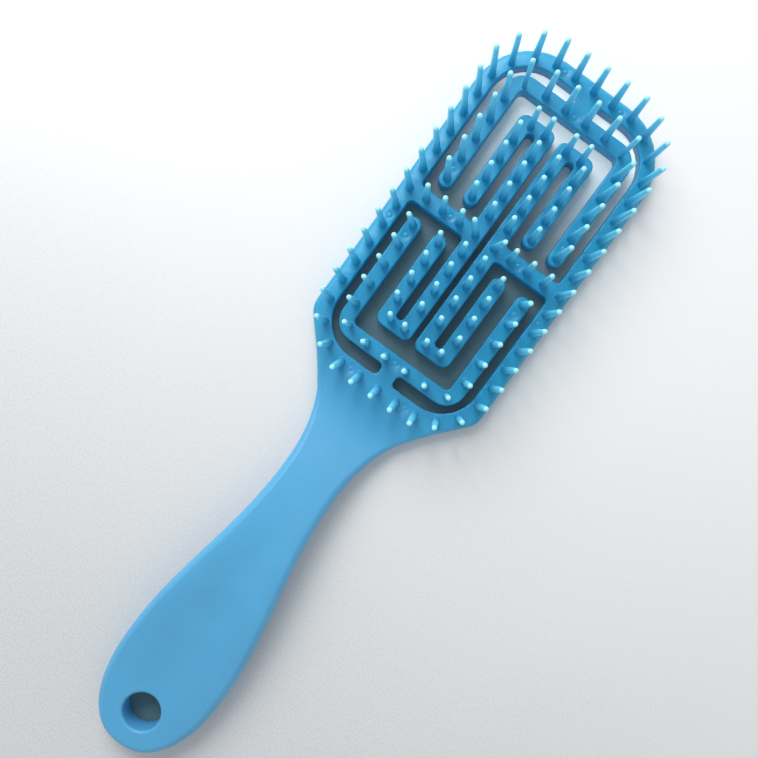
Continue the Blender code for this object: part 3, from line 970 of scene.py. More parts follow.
@dataclass(frozen=True)
class Site:
    """Where a pin stands, and how far it leans out for each unit that it rises.

    Attributes:
        x: Its place across the brush.
        y: Its place along the brush, from the middle of the crossbars.
        lean_x: How far it leans across.
        lean_y: How far it leans along.
    """

    x: float
    y: float
    lean_x: float = 0.0
    lean_y: float = 0.0

    @classmethod
    def leaning(cls, x: float, y: float, across: float, along: float = 0.0) -> "Site":
        """A pin that leans over by degrees across the head, and along it."""
        return cls(x, y, math.tan(math.radians(across)), math.tan(math.radians(along)))

    def to(self, other: "Site") -> Span:
        """The place midway to another pin."""
        return (self.x + other.x) / 2, (self.y + other.y) / 2


@dataclass(frozen=True)
class PinForm:
    """A tapered pin with a fillet round its foot and a domed tip.

    Attributes:
        height: Its height.
        foot: Its shaft's radius at the foot.
        fillet: The radius of the fillet.
        most_fillet: The largest share of the foot that a fillet takes.
        margin: How far the foot stays clear of an edge, as a share of the fillet.
        tip: The radius of the dome.
        sides: Sides all round it.
        fillet_steps: Strips up the fillet.
        shaft_steps: Strips up the shaft.
        dome_steps: Strips up the dome.
    """

    height: float
    foot: float = 0.00105
    fillet: float = 0.00042
    most_fillet: float = 0.25
    margin: float = 0.125
    tip: float = 0.00074
    sides: int = 18
    fillet_steps: int = 4
    shaft_steps: int = 3
    dome_steps: int = 5

    def rings(self, base: float) -> np.ndarray:
        """The pin's rings from its foot up.

        Args:
            base: The radius that it has on the face it stands on.

        Returns:
            Rows of radius, height, and the outward and upward parts of the normal.
        """
        fillet = min(self.fillet, base * self.most_fillet)
        foot = base - fillet
        rows = []
        for k in range(self.fillet_steps + 1):
            turn = math.pi / 2 * k / self.fillet_steps
            out, up = math.sin(turn), math.cos(turn)
            rows.append((foot + fillet * (1 - out), fillet * (1 - up), out, up))
        dome = self.height - self.tip
        slope = math.atan((foot - self.tip) / (dome - fillet))
        for k in range(1, self.shaft_steps + 1):
            share = k / self.shaft_steps
            radius, height = foot + (self.tip - foot) * share, fillet + (dome - fillet) * share
            rows.append((radius, height, math.cos(slope), math.sin(slope)))
        for k in range(1, self.dome_steps):
            turn = math.pi / 2 * k / self.dome_steps
            out, up = math.cos(turn), math.sin(turn)
            rows.append((self.tip * out, dome + self.tip * up, out, up))
        return np.array(rows)


@dataclass(frozen=True)
class PinPlan:
    """How the pins are spread over the head.

    Attributes:
        plan: The head's plan.
        rim_count: Pins along the rim.
        loop_count: Pins on a loop.
        crossbar_count: Pins on a crossbar.
        spine_count: Pins on a spine before its turn.
        finger_count: Pins on a finger.
        line_radius: The corner radius of the line of pins along the rim.
        end_inset: How far inside the head's two ends that line runs.
        rim_share: How far inside its sides, as a share of the rim's width.
        free_end_inset: From an arm's free end to its first pin.
        root_inset: From a finger's last pin to its root.
        turn_gap: From a spine's last pin to the line of the two on its turn.
        turn_inner: How far the first of these stands outside the spine's middle.
        turn_outer: How far the second stands inside the finger's middle.
        side_splay: Degrees that the pins on the rim's sides lean outward.
        forward_splay: Degrees that these lean forward, where they come to the tip.
        tip_splay: Degrees that the pins across the tip lean outward.
        root_splay: Degrees that the pins at the neck lean outward.
        loop_splay: Degrees that a loop's pins lean outward.
        junction_splay: Degrees that a crossbar's inmost pin leans outward.
    """

    plan: HeadPlan
    rim_count: int = 44
    loop_count: int = 16
    crossbar_count: int = 4
    spine_count: int = 4
    finger_count: int = 4
    line_radius: float = 0.0158
    end_inset: float = 0.0029
    rim_share: float = 0.59
    free_end_inset: float = 0.0024
    root_inset: float = 0.0028
    turn_gap: float = 0.0072
    turn_inner: float = 0.0005
    turn_outer: float = 0.0018
    side_splay: float = 5.7
    forward_splay: float = 6.5
    tip_splay: float = 3.5
    root_splay: float = 12.0
    loop_splay: float = 4.0
    junction_splay: float = 7.5

    @property
    def rim_x(self) -> float:
        """The line of pins along the rim's side."""
        plan = self.plan
        return plan.half_width - (plan.half_width - plan.window_x) * self.rim_share

    @property
    def turn_y(self) -> float:
        """The line of the two pins on a hairpin turn."""
        return (self.plan.hairpin_y + self.plan.finger_root + self.plan.part_gap / 2) / 2

    def rim(self) -> list[Site]:
        """Pins at one pitch along a rounded rectangle inside the rim, leaning outward.

        Returns:
            Their sites, from the middle of the tip to the right and round.
        """
        straight_x = self.rim_x - self.line_radius
        straight_y = self.plan.reach - self.end_inset - self.line_radius
        quarter = straight_x + self.line_radius * math.pi / 2 + straight_y
        made = []
        for i in range(self.rim_count):
            index = 4 * i // self.rim_count
            along = quarter * (4 * i / self.rim_count - index)
            if index % 2:
                along = quarter - along
            turn = min(max((along - straight_x) / self.line_radius, 0), math.pi / 2)
            out_x, out_y = math.sin(turn), math.cos(turn)
            side = 1 if index < 2 else -1
            half = 1 if index in (0, 3) else -1
            x = min(along, straight_x) + self.line_radius * out_x
            y = min(quarter - along, straight_y) + self.line_radius * out_y
            ends = self.tip_splay if half > 0 else self.root_splay
            forward = half * out_y**2 * ends
            if half > 0:
                forward += self.forward_splay * out_x**2 * y / (self.plan.reach - self.end_inset)
            outward = side * out_x**3 * self.side_splay
            made.append(Site.leaning(side * x, half * y, outward, forward))
        return made

    def crossbars(self) -> list[Site]:
        """Pins at one pitch along both crossbars, the inmost ones leaning outward.

        Returns:
            Their sites, the left crossbar's first.
        """
        line = self.plan.spine_line
        pitch = (self.rim_x - line) / self.crossbar_count
        made = [Site.leaning(line, 0, self.junction_splay)]
        made += [Site(line + pitch * k, 0) for k in range(1, self.crossbar_count)]
        return carried(made, Side.LEFT, Half.UPPER) + made

    def loop(self) -> list[Site]:
        """Half of a loop's pins, at one pitch from the leg's free end to the middle of the bar.

        Returns:
            Their sites in the right upper quarter.
        """
        plan = self.plan
        line_y = plan.bar_outer - plan.bar_width / 2
        radius = plan.loop_outer
        start = plan.free_end + self.free_end_inset
        leg = line_y - radius - start
        arc = radius * math.pi / 2
        pitch = (leg + arc + plan.leg_line - radius) / (self.loop_count / 2 - 1 / 2)
        made = []
        for k in range(self.loop_count // 2):
            walked = pitch * k
            turn = min(max((walked - leg) / radius, 0), math.pi / 2)
            x = plan.leg_line - radius + radius * math.cos(turn) - max(walked - leg - arc, 0)
            y = start + min(walked, leg) + radius * math.sin(turn)
            made.append(Site.leaning(x, y, self.loop_splay * math.cos(turn), self.loop_splay))
        return made

    def spine(self) -> list[Site]:
        """A spine's pins, and the two on its hairpin turn.

        Returns:
            Their sites in the right upper quarter.
        """
        plan = self.plan
        pitch = (self.turn_y - self.turn_gap) / self.spine_count
        made = [Site(plan.spine_line, pitch * k) for k in range(1, self.spine_count + 1)]
        made.append(Site(plan.spine_line + self.turn_inner, self.turn_y))
        made.append(Site(plan.finger_line - self.turn_outer, self.turn_y))
        return made

    def finger(self) -> list[Site]:
        """A finger's pins, at one pitch from its free end to its root.

        Returns:
            Their sites in the right upper quarter.
        """
        plan = self.plan
        first = plan.free_end + self.free_end_inset
        last = plan.finger_root - plan.part_gap / 2 - self.root_inset
        pitch = (last - first) / (self.finger_count - 1)
        return [Site(plan.finger_line, first + pitch * k) for k in range(self.finger_count)]


def carried(sites: Iterable[Site], side: Side, half: Half) -> list[Site]:
    """Pin sites of the right upper quarter, carried to another quarter."""
    h, v = side.value, half.value
    return [Site(h * s.x, v * s.y, h * s.lean_x, v * s.lean_y) for s in sites]


@dataclass(frozen=True)
class MarkForm:
    """The faint round mark that an ejector rod leaves in a moulded face.

    Attributes:
        radius: Its radius.
        groove: The width of each of the two slopes of the groove round it.
        depth: The groove's depth.
        middle: How deep its middle lies, as a share of that.
        sides: Sides all round it.
    """

    radius: float = 0.00086
    groove: float = 0.00008
    depth: float = 0.00008
    middle: float = 0.25
    sides: int = 20

    def rings(self) -> list[Span]:
        """The mark's rings, from its rim inwards.

        Returns:
            The radius and height of each.
        """
        return [
            (self.radius, 0.0),
            (self.radius - self.groove, -self.depth),
            (self.radius - 2 * self.groove, -self.depth * self.middle),
        ]


@dataclass
class Edge:
    """How one loop's edge is rounded.

    Attributes:
        measure: Gives how far in, and how far down, the rounding runs at (x, y) places.
    """

    measure: Callable[[np.ndarray], tuple[np.ndarray, np.ndarray]]

    @classmethod
    def even(cls, radius: float) -> "Edge":
        """An edge with one radius all along."""
        return cls(lambda places: (np.full(len(places), radius), np.full(len(places), radius)))


@dataclass
class Slab:
    """A slab of plastic between an upper and a lower face, with rounded edges, pins and marks.

    Attributes:
        top: The height of its upper face at (x, y) places.
        under: The height of its lower face.
        centre_y: Where the plan's middle lies along the brush.
        steps: Strips up each rounded edge.
        points: The points that have been added, in batches.
        normals: Their normals.
        rises: How far up a pin they lie, as a share of its height.
        faces: The faces, by the numbers of their points.
        upper: The closed lines that bound the upper face, by number and by place.
        lower: Those that bound the lower face.
        count: How many points there are.
    """

    top: Face
    under: Face
    centre_y: float
    steps: int = 8
    points: list[np.ndarray] = field(default_factory=list)
    normals: list[np.ndarray] = field(default_factory=list)
    rises: list[np.ndarray] = field(default_factory=list)
    faces: list[Sequence[int]] = field(default_factory=list)
    upper: list[tuple[np.ndarray, np.ndarray]] = field(default_factory=list)
    lower: list[tuple[np.ndarray, np.ndarray]] = field(default_factory=list)
    count: int = 0

    SLOPE_STEP = 0.0002
    WELD = 1e-9
    RISE = "pin_rise"

    def _add(
        self, plan: np.ndarray, height: np.ndarray, normal: np.ndarray, rise: float = 0.0
    ) -> np.ndarray:
        """Adds points.

        Args:
            plan: Their (x, y) places.
            height: Their heights.
            normal: Their normals.
            rise: How far up a pin they lie, as a share of its height.

        Returns:
            Their numbers.
        """
        self.points.append(np.column_stack([plan[:, 0], plan[:, 1] + self.centre_y, height]))
        self.normals.append(normal)
        self.rises.append(np.full(len(plan), rise))
        first = self.count
        self.count += len(plan)
        return np.arange(first, self.count)

    def _slope(self, face: Face, plan: np.ndarray) -> np.ndarray:
        """How steeply a face rises across and along, at (x, y) places.

        Args:
            face: The face's height at a place.
            plan: The places.

        Returns:
            Rows of the two slopes.
        """
        made = []
        for step in ((self.SLOPE_STEP, 0.0), (0.0, self.SLOPE_STEP)):
            made.append((face(plan + step) - face(plan - step)) / (2 * self.SLOPE_STEP))
        return np.column_stack(made)

    def add_loop(self, loop: Loop, edge: Edge) -> None:
        """Adds the wall and the two rounded edges along a loop.

        Args:
            loop: The line of the wall, with plastic on its left.
            edge: How its edges are rounded.
        """
        inward = loop.inward()
        reach, fall = edge.measure(loop.points)
        inner = loop.points + inward * reach[:, None]
        top, under = self.top(inner), self.under(inner)
        out = -inward / np.linalg.norm(inward, axis=1)[:, None]
        rings = []
        for up, face, level in ((-1, self.under, under), (1, self.top, top)):
            slope = self._slope(face, inner)
            for k in range(self.steps + 1):
                turn = math.pi / 2 * (k if up > 0 else self.steps - k) / self.steps
                plan = loop.points + inward * (reach * (1 - math.cos(turn)))[:, None]
                height = level - up * fall * (1 - math.sin(turn))
                rise = reach * math.sin(turn)
                flat = out * (fall * math.cos(turn))[:, None] - slope * rise[:, None]
                rings.append(self._add(plan, height, np.column_stack([flat, up * rise])))
        following = np.roll(np.arange(len(loop.points)), -1)
        for i, j in enumerate(following):
            if loop.cut[i]:
                far, near = [ring[j] for ring in rings], [ring[i] for ring in rings]
                self.faces.append([near[0], *far, *near[:0:-1]])
                continue
            for low, high in zip(rings, rings[1:]):
                self.faces.append((low[i], low[j], high[j], high[i]))
        self.lower.append((rings[0], inner))
        self.upper.append((rings[-1], inner))

    def _clearance(self, x: float, y: float) -> float:
        """How far a place on the upper face is from the nearest rounded edge.

        Args:
            x: The place across the brush.
            y: The place along it.

        Returns:
            The distance.
        """
        nearest = math.inf
        for _, line in self.upper:
            ahead = np.roll(line, -1, axis=0) - line
            to_place = np.array((x, y)) - line
            length = np.maximum((ahead**2).sum(1), self.WELD**2)
            share = np.clip((to_place * ahead).sum(1) / length, 0, 1)
            nearest = min(nearest, np.linalg.norm(to_place - ahead * share[:, None], axis=1).min())
        return float(nearest)

    @staticmethod
    def _circle(sides: int) -> np.ndarray:
        """The corners of a polygon of radius 1."""
        turns = 2 * math.pi * np.arange(sides) / sides
        return np.column_stack([np.cos(turns), np.sin(turns)])

    def add_pins(self, sites: Sequence[Site], form: PinForm) -> None:
        """Grows pins out of the upper face.

        Args:
            sites: Where they stand.
            form: Their shape.
        """
        circle = self._circle(form.sides)
        margin = form.fillet * form.margin
        room = [self._clearance(site.x, site.y) - margin for site in sites]
        for site, clear in zip(sites, room):
            lean = np.array((site.lean_x, site.lean_y))
            foot = np.array((site.x, site.y))
            level = float(self.top(foot[None])[0])
            shape = form.rings(min(form.foot + form.fillet, clear))
            rings = []
            for radius, height, out, up in shape:
                plan = foot + lean * height + circle * radius
                flat = circle * out
                normal = np.column_stack([flat, up - (flat * lean).sum(1)])
                heights = np.full(form.sides, level + height)
                rings.append(self._add(plan, heights, normal, height / form.height))
            apex = (foot + lean * form.height)[None]
            upward = np.array([(0, 0, 1.0)])
            tip = self._add(apex, np.array([level + form.height]), upward, 1.0)[0]
            self._skirt(rings)
            last = rings[-1]
            self.faces += [(a, b, tip) for a, b in zip(last, np.roll(last, -1))]
            self.upper.append((rings[0], foot + circle * shape[0][0]))

    def add_marks(self, places: Iterable[Span], form: MarkForm) -> None:
        """Presses ejector marks into the upper face, where they are clear of what else is there.

        Args:
            places: Where they lie.
            form: Their shape.
        """
        circle = self._circle(form.sides)
        unset = np.zeros((form.sides, 3))
        for x, y in places:
            if self._clearance(x, y) < form.radius + form.groove:
                log.info("no room for a mark at %.4f, %.4f", x, y)
                continue
            middle = np.array((x, y))
            level = float(self.top(middle[None])[0])
            rings = []
            for radius, height in form.rings():
                heights = np.full(form.sides, level + height)
                rings.append(self._add(middle + circle * radius, heights, unset))
            self._skirt(rings)
            self.faces.append(list(rings[-1]))
            self.upper.append((rings[0], middle + circle * form.radius))

    def _skirt(self, rings: Sequence[np.ndarray]) -> None:
        """Joins rings of equal count, each to the next."""
        for low, high in zip(rings, rings[1:]):
            self.faces += zip(low, np.roll(low, -1), np.roll(high, -1), high)

    @staticmethod
    def inside(places: np.ndarray, lines: Iterable[np.ndarray]) -> np.ndarray:
        """Which places lie inside an odd number of the closed lines.

        Args:
            places: Rows of x and y.
            lines: The closed lines.

        Returns:
            True for each place that does.
        """
        found = np.zeros(len(places), bool)
        for line in lines:
            after = np.roll(line, -1, axis=0)
            for (ax, ay), (bx, by) in zip(line, after):
                spans = (ay > places[:, 1]) != (by > places[:, 1])
                if not spans.any():
                    continue
                at = ax + (places[:, 1] - ay) / ((by - ay) or 1.0) * (bx - ax)
                found ^= spans & (places[:, 0] < at)
        return found

    def _fill(
        self, lines: Sequence[tuple[np.ndarray, np.ndarray]], face: Face, up: int, inner: np.ndarray
    ) -> None:
        """Fills a face between its lines.

        Args:
            lines: The numbers and places of the points along each closed line.
            face: The face's height.
            up: 1 for the upper face, and -1 for the lower.
            inner: Further places inside the face, where it is curved.
        """
        numbers = np.concatenate([ids for ids, _ in lines])
        places = np.concatenate([line for _, line in lines])
        edges, first = [], 0
        for ids, _ in lines:
            edges += [(first + i, first + (i + 1) % len(ids)) for i in range(len(ids))]
            first += len(ids)
        if len(inner):
            slope = self._slope(face, inner)
            normal = np.column_stack([-slope * up, np.full(len(inner), float(up))])
            numbers = np.concatenate([numbers, self._add(inner, face(inner), normal)])
            places = np.concatenate([places, inner])
        _, _, triangles, origins, _, _ = delaunay_2d_cdt(
            [Vector(p) for p in places], edges, [], 0, self.WELD, True
        )
        names = [numbers[o[0]] for o in origins]
        spots = np.array([places[o[0]] for o in origins])
        corners = np.array(triangles)
        kept = corners[self.inside(spots[corners].mean(1), [line for _, line in lines])]
        one, two, three = (spots[kept[:, k]] for k in range(3))
        ahead, aside = two - one, three - one
        area = ahead[:, 0] * aside[:, 1] - ahead[:, 1] * aside[:, 0]
        for triangle, signed in zip(kept, area * up):
            order = triangle if signed > 0 else triangle[::-1]
            self.faces.append([names[i] for i in order])

    def piece(self, name: str, material: bpy.types.Material, inner: np.ndarray) -> bpy.types.Object:
        """Fills both faces and makes the piece.

        Args:
            name: The piece's name.
            material: Its finish.
            inner: Places inside the faces, where they are curved.

        Returns:
            The piece, in the frame's axes.
        """
        self._fill(self.upper, self.top, 1, inner)
        self._fill(self.lower, self.under, -1, inner)
        mesh = bpy.data.meshes.new(name)
        faces = [[int(number) for number in corners] for corners in self.faces]
        mesh.from_pydata(np.concatenate(self.points).tolist(), [], faces)
        normals = np.concatenate(self.normals)
        length = np.linalg.norm(normals, axis=1)[:, None]
        normals = np.where(length > 0, normals / np.where(length > 0, length, 1), 0)
        mesh.shade_smooth()
        mesh.normals_split_custom_set_from_vertices(normals.tolist())
        rise = mesh.attributes.new(self.RISE, "FLOAT", "POINT")
        rise.data.foreach_set("value", np.concatenate(self.rises).astype(np.float32))
        mesh.materials.append(material)
        obj = bpy.data.objects.new(name, mesh)
        bpy.context.scene.collection.objects.link(obj)
        return obj


@dataclass
class Moulding:
    """The handle with the head's rim and crossbars, in one piece.

    Attributes:
        plan: The head's plan.
        handle: The handle's form.
        pins: How the pins are spread.
        finish: The plastic.
        window_edge: The radius of the window's edges.
        curve_pitch: The distance between points on the curved faces of the handle.
        curve_margin: How far these stay inside the rounded edges.
        side_steps: Points along the handle's side, from the head to its widest place.
        end_steps: Strips round a quarter of its end.
        hole_sides: Sides all round the hang hole.
        fillet_share: The share of its room that a spine's fillet takes.
        join_smoothing: How often the line between the head and the neck is smoothed.
        marked_pins: The rim's pins that have an ejector mark between them and the next.
        marked_crossbar_pin: The pin of each crossbar that has one.
    """

    plan: HeadPlan
    handle: HandleForm
    pins: PinPlan
    finish: MouldedPlastic
    window_edge: float = 0.0005
    curve_pitch: float = 0.0022
    curve_margin: float = 0.0011
    side_steps: int = 60
    end_steps: int = 40
    hole_sides: int = 56
    fillet_share: float = 0.98
    join_smoothing: int = 30
    marked_pins: tuple[int, ...] = (1, 12, 20, 23, 31, 42)
    marked_crossbar_pin: int = 1

    def outer_loop(self) -> Loop:
        """The outline of the whole brush.

        Returns:
            The loop, from the middle of the tip to the left and round.
        """
        plan, handle = self.plan, self.handle
        corner_y = -plan.window_y + plan.root_corner_drop
        half_root = plan.root_bar_width / 2
        corners = [
            Corner(plan.half_width, plan.reach, plan.tip_corner),
            Corner(-plan.half_width, plan.reach, plan.tip_corner),
            Corner(-plan.half_width, corner_y, plan.root_corner),
            Corner(-half_root, plan.root_y),
            Corner(half_root, plan.root_y),
            Corner(plan.half_width, corner_y, plan.root_corner),
        ]
        head = Loop.traced(corners).points
        clear = Loop.LONGEST / 4
        left = head[(head[:, 0] < -clear) & (head[:, 1] > plan.root_y + clear)]
        down = np.linspace(plan.root_y, handle.grip_y, self.side_steps)
        turn = math.pi / 2 * np.arange(1, self.end_steps) / self.end_steps
        end = handle.grip_y - handle.grip_end * np.sin(turn)
        sides = np.concatenate([down, end])
        handle_left = np.column_stack([-handle.half_width(sides), sides])
        line = np.concatenate([left, handle_left])
        near = np.abs(line[:, 1] - plan.root_y) < plan.thickness
        for _ in range(self.join_smoothing):
            middle = (line[:-2] + 2 * line[1:-1] + line[2:]) / 4
            line[1:-1] = np.where(near[1:-1, None], middle, line[1:-1])
        ends = np.array([(0.0, plan.reach), (0.0, handle.end_y)])
        points = np.concatenate([ends[:1], line, ends[1:], line[::-1] * (-1, 1)])
        return Loop(points, np.zeros(len(points), bool))

    def window_loop(self) -> Loop:
        """The edge of the window: the rim, both crossbars, and the roots of the arms.

        Returns:
            The loop.
        """
        plan = self.plan
        bridge = plan.bridge_width / 2
        upper = [
            Corner(bridge, plan.bridge_cut),
            Corner(bridge, plan.window_y, plan.bridge_fillet),
            Corner(plan.window_x, plan.window_y, plan.window_corner),
            Corner(plan.window_x, plan.crossbar_edge, plan.crossbar_fillet),
            Corner(plan.spine_outer, plan.crossbar_edge, plan.spine_fillet * self.fillet_share),
            Corner(plan.spine_outer, plan.spine_root, 0, True),
            Corner(plan.spine_inner, plan.spine_root),
        ]
        lower = [Corner(c.x, -c.y, c.radius) for c in reversed(upper)]
        # Each half begins and ends at an arm's root, and the line runs across both as a cut.
        lower[0] = Corner(lower[0].x, lower[0].y, 0, True)
        lower[-1] = Corner(lower[-1].x, lower[-1].y, 0, True)
        right = upper + lower
        return Loop.traced(right + [Corner(-c.x, -c.y, c.radius, c.cut) for c in right])

    def hole_loop(self) -> Loop:
        """The hang hole.

        Returns:
            Its loop, with the plastic outside it.
        """
        turn = -2 * math.pi * np.arange(self.hole_sides) / self.hole_sides
        circle = np.column_stack([np.cos(turn), np.sin(turn)])
        points = circle * self.handle.hole_diameter / 2 + (0, self.handle.hole_y)
        return Loop(points, np.zeros(self.hole_sides, bool))

    def curve_points(self, slab: Slab) -> np.ndarray:
        """Places inside the handle's faces, which are curved.

        Args:
            slab: The slab, with its loops in place.

        Returns:
            The places.
        """
        handle, pitch = self.handle, self.curve_pitch
        x = np.arange(-handle.grip_width / 2, handle.grip_width / 2, pitch)
        y = np.arange(handle.end_y, self.plan.root_y + pitch, pitch)
        rows = [(x + k % 2 * pitch / 2, np.full(len(x), row)) for k, row in enumerate(y)]
        places = np.concatenate([np.column_stack(row) for row in rows])
        lines = [line for _, line in slab.lower]
        places = places[slab.inside(places, lines)]
        clear = []
        for place in places:
            near = min(np.linalg.norm(line - place, axis=1).min() for line in lines)
            clear.append(near > self.curve_margin)
        return places[np.array(clear)]

    def build(self) -> bpy.types.Object:
        """Builds the piece in place of the handle, the rim and the crossbars.

        Returns:
            The piece.
        """
        slab = Slab(self.handle.top, self.handle.under, self.plan.centre_y)
        slab.add_loop(self.outer_loop(), Edge(self.handle.edge))
        slab.add_loop(self.window_loop(), Edge.even(self.window_edge))
        slab.add_loop(self.hole_loop(), Edge.even(self.handle.hole_edge))
        inner = self.curve_points(slab)
        rim, crossbars = self.pins.rim(), self.pins.crossbars()
        slab.add_pins(rim + crossbars, PinForm(self.plan.pin_height))
        marks = [rim[i].to(rim[i + 1]) for i in self.marked_pins]
        for start in (0, self.pins.crossbar_count):
            marked = start + self.marked_crossbar_pin
            marks.append(crossbars[marked].to(crossbars[marked + 1]))
        slab.add_marks(marks, MarkForm())
        obj = slab.piece("brush_body", self.finish.material("brush_body_plastic"), inner)
        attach(obj, "moulding")
        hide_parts("handle", "head_frame", "left_crossbar", "right_crossbar")
        return obj


@dataclass
class Arm:
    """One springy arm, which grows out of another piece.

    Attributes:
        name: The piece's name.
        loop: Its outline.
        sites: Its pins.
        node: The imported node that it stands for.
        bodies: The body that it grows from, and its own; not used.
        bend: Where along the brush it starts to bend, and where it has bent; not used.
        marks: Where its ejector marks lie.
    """

    name: str
    loop: Loop
    sites: list[Site]
    node: str
    bodies: tuple[str, str]
    bend: Span
    marks: Sequence[Span] = ()

    def build(self, plan: HeadPlan, finish: MouldedPlastic, edge: float) -> bpy.types.Object:
        """Builds the arm.

        Args:
            plan: The head's plan.
            finish: The plastic.
            edge: The radius of its edges.

        Returns:
            The piece.
        """
        slab = Slab(
            lambda places: np.full(len(places), plan.thickness),
            lambda places: np.zeros(len(places)),
            plan.centre_y,
        )
        slab.add_loop(self.loop, Edge.even(edge))
        slab.add_pins(self.sites, PinForm(plan.pin_height))
        slab.add_marks(self.marks, MarkForm())
        obj = slab.piece(self.name, finish.material(self.name + "_plastic"), np.empty((0, 2)))
        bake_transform(obj)
        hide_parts(self.node)
        return obj


@dataclass
class Labyrinth:
    """The springy arms inside the rim: two loops, and four spines with their fingers.

    Attributes:
        plan: The head's plan.
        pins: How the pins are spread.
        finish: The plastic; not used.
        edge: The radius of the arms' edges.
        bend_length: Over how much of its length an arm bends.
        end_share: A free end's corner radius, as a share of half the arm's width.
    """

    plan: HeadPlan
    pins: PinPlan
    finish: MouldedPlastic
    edge: float = 0.0005
    bend_length: float = 0.006
    end_share: float = 0.98

    def strip(self, inner: float, outer: float, root: float) -> Loop:
        """A straight arm of the right upper quarter, from its root to its round free end.

        Args:
            inner: Its side towards the middle.
            outer: Its side towards the rim.
            root: Where it begins.

        Returns:
            Its loop.
        """
        radius = (outer - inner) / 2 * self.end_share
        return Loop.traced([
            Corner(inner, root),
            Corner(inner, self.plan.free_end, radius),
            Corner(outer, self.plan.free_end, radius),
            Corner(outer, root, 0, True),
        ])

    def spine_loop(self) -> Loop:
        """The right upper spine with its hairpin turn.

        Returns:
            Its loop.
        """
        plan = self.plan
        slot = plan.finger_inner - plan.spine_outer
        radius = slot / 2 * self.end_share
        slot_end = plan.finger_root + plan.part_gap / 2 + slot / 2
        return Loop.traced([
            Corner(plan.spine_inner, plan.spine_root, 0, True),
            Corner(plan.spine_outer, plan.spine_root),
            Corner(plan.spine_outer, slot_end, radius),
            Corner(plan.finger_inner, slot_end, radius),
            Corner(plan.finger_inner, plan.finger_root, 0, True),
            Corner(plan.finger_outer, plan.finger_root),
            Corner(plan.finger_outer, plan.hairpin_y, plan.hairpin_outer),
            Corner(plan.spine_inner, plan.hairpin_y, plan.hairpin_inner),
        ])

    def bar_loop(self) -> Loop:
        """The upper loop's bar with its two corners and its half of the bridge.

        Returns:
            Its loop.
        """
        plan = self.plan
        bridge = plan.bridge_width / 2
        bar_inner = plan.bar_outer - plan.bar_width
        right = [
            Corner(plan.leg_inner, bar_inner, plan.loop_inner),
            Corner(plan.leg_inner, plan.leg_root, 0, True),
            Corner(plan.leg_outer, plan.leg_root),
            Corner(plan.leg_outer, plan.bar_outer, plan.loop_outer),
            Corner(bridge, plan.bar_outer, plan.bridge_fillet),
            Corner(bridge, plan.bridge_cut, 0, True),
        ]
        left = [Corner(-c.x, c.y, c.radius) for c in reversed(right)]
        # On the left the leg's root is crossed the other way, so the cut starts at its outer side.
        left[3] = Corner(left[3].x, left[3].y, 0, True)
        return Loop.traced(right + left)

    def loop_arm(self, half: Half) -> Arm:
        """The bar of one half's loop, which hangs from the rim or the root bar by its bridge.

        Args:
            half: The half of the head.

        Returns:
            The arm.
        """
        plan, end, word = self.plan, half.value, half.name.lower()
        on_bar = [site for site in self.pins.loop() if site.y > plan.leg_root]
        both = carried(on_bar, Side.LEFT, half) + carried(on_bar, Side.RIGHT, half)
        return Arm(
            name=f"{word}_loop",
            loop=self.bar_loop().mirrored(Side.RIGHT, half),
            sites=both,
            node=f"{word}_loop_bar",
            bodies=("moulding", f"{word}_loop"),
            bend=(end * plan.bridge_cut, end * (plan.bar_outer - plan.part_gap)),
            marks=[(0.0, both[-1].y)],
        )

    def leg_arm(self, side: Side, half: Half) -> Arm:
        """One of the two legs that a loop's bar turns into.

        Args:
            side: The side of the brush.
            half: The half of the head.

        Returns:
            The arm.
        """
        plan, end, word, turn = self.plan, half.value, half.name.lower(), side.name.lower()
        on_leg = [site for site in self.pins.loop() if site.y <= plan.leg_root]
        sites = carried(on_leg, side, half)
        return Arm(
            name=f"{word}_{turn}_leg_arm",
            loop=self.strip(plan.leg_inner, plan.leg_outer, plan.leg_root).mirrored(side, half),
            sites=sites,
            node=f"{word}_loop_{turn}_leg",
            bodies=(f"{word}_loop", f"{word}_{turn}_leg"),
            bend=(end * plan.leg_root, end * (plan.leg_root - self.bend_length)),
            marks=[sites[0].to(sites[1])],
        )

    def spine_arm(self, side: Side, half: Half) -> Arm:
        """One spine, which stands on its crossbar and ends in its hairpin turn.

        Args:
            side: The side of the brush.
            half: The half of the head.

        Returns:
            The arm.
        """
        plan, end, word, turn = self.plan, half.value, half.name.lower(), side.name.lower()
        return Arm(
            name=f"{turn}_{word}_spine_and_turn",
            loop=self.spine_loop().mirrored(side, half),
            sites=carried(self.pins.spine(), side, half),
            node=f"{turn}_{word}_spine",
            bodies=("moulding", f"{turn}_{word}_spine_arm"),
            bend=(end * plan.spine_root, end * (plan.spine_root + self.bend_length)),
        )

    def finger_arm(self, side: Side, half: Half) -> Arm:
        """One finger, which runs back from its hairpin turn and ends free.

        Args:
            side: The side of the brush.
            half: The half of the head.

        Returns:
            The arm.
        """
        plan, end, word, turn = self.plan, half.value, half.name.lower(), side.name.lower()
        strip = self.strip(plan.finger_inner, plan.finger_outer, plan.finger_root)
        return Arm(
            name=f"{turn}_{word}_free_finger",
            loop=strip.mirrored(side, half),
            sites=carried(self.pins.finger(), side, half),
            node=f"{turn}_{word}_finger",
            bodies=(f"{turn}_{word}_spine_arm", f"{turn}_{word}_finger_arm"),
            bend=(end * plan.finger_root, end * (plan.finger_root - self.bend_length)),
        )

    def arms(self) -> list[Arm]:
        """All fourteen arms, each after the one that it grows from.

        Returns:
            The arms.
        """
        made = []
        for half in Half:
            made.append(self.loop_arm(half))
            for side in Side:
                made.append(self.leg_arm(side, half))
                made.append(self.spine_arm(side, half))
                made.append(self.finger_arm(side, half))
        return made


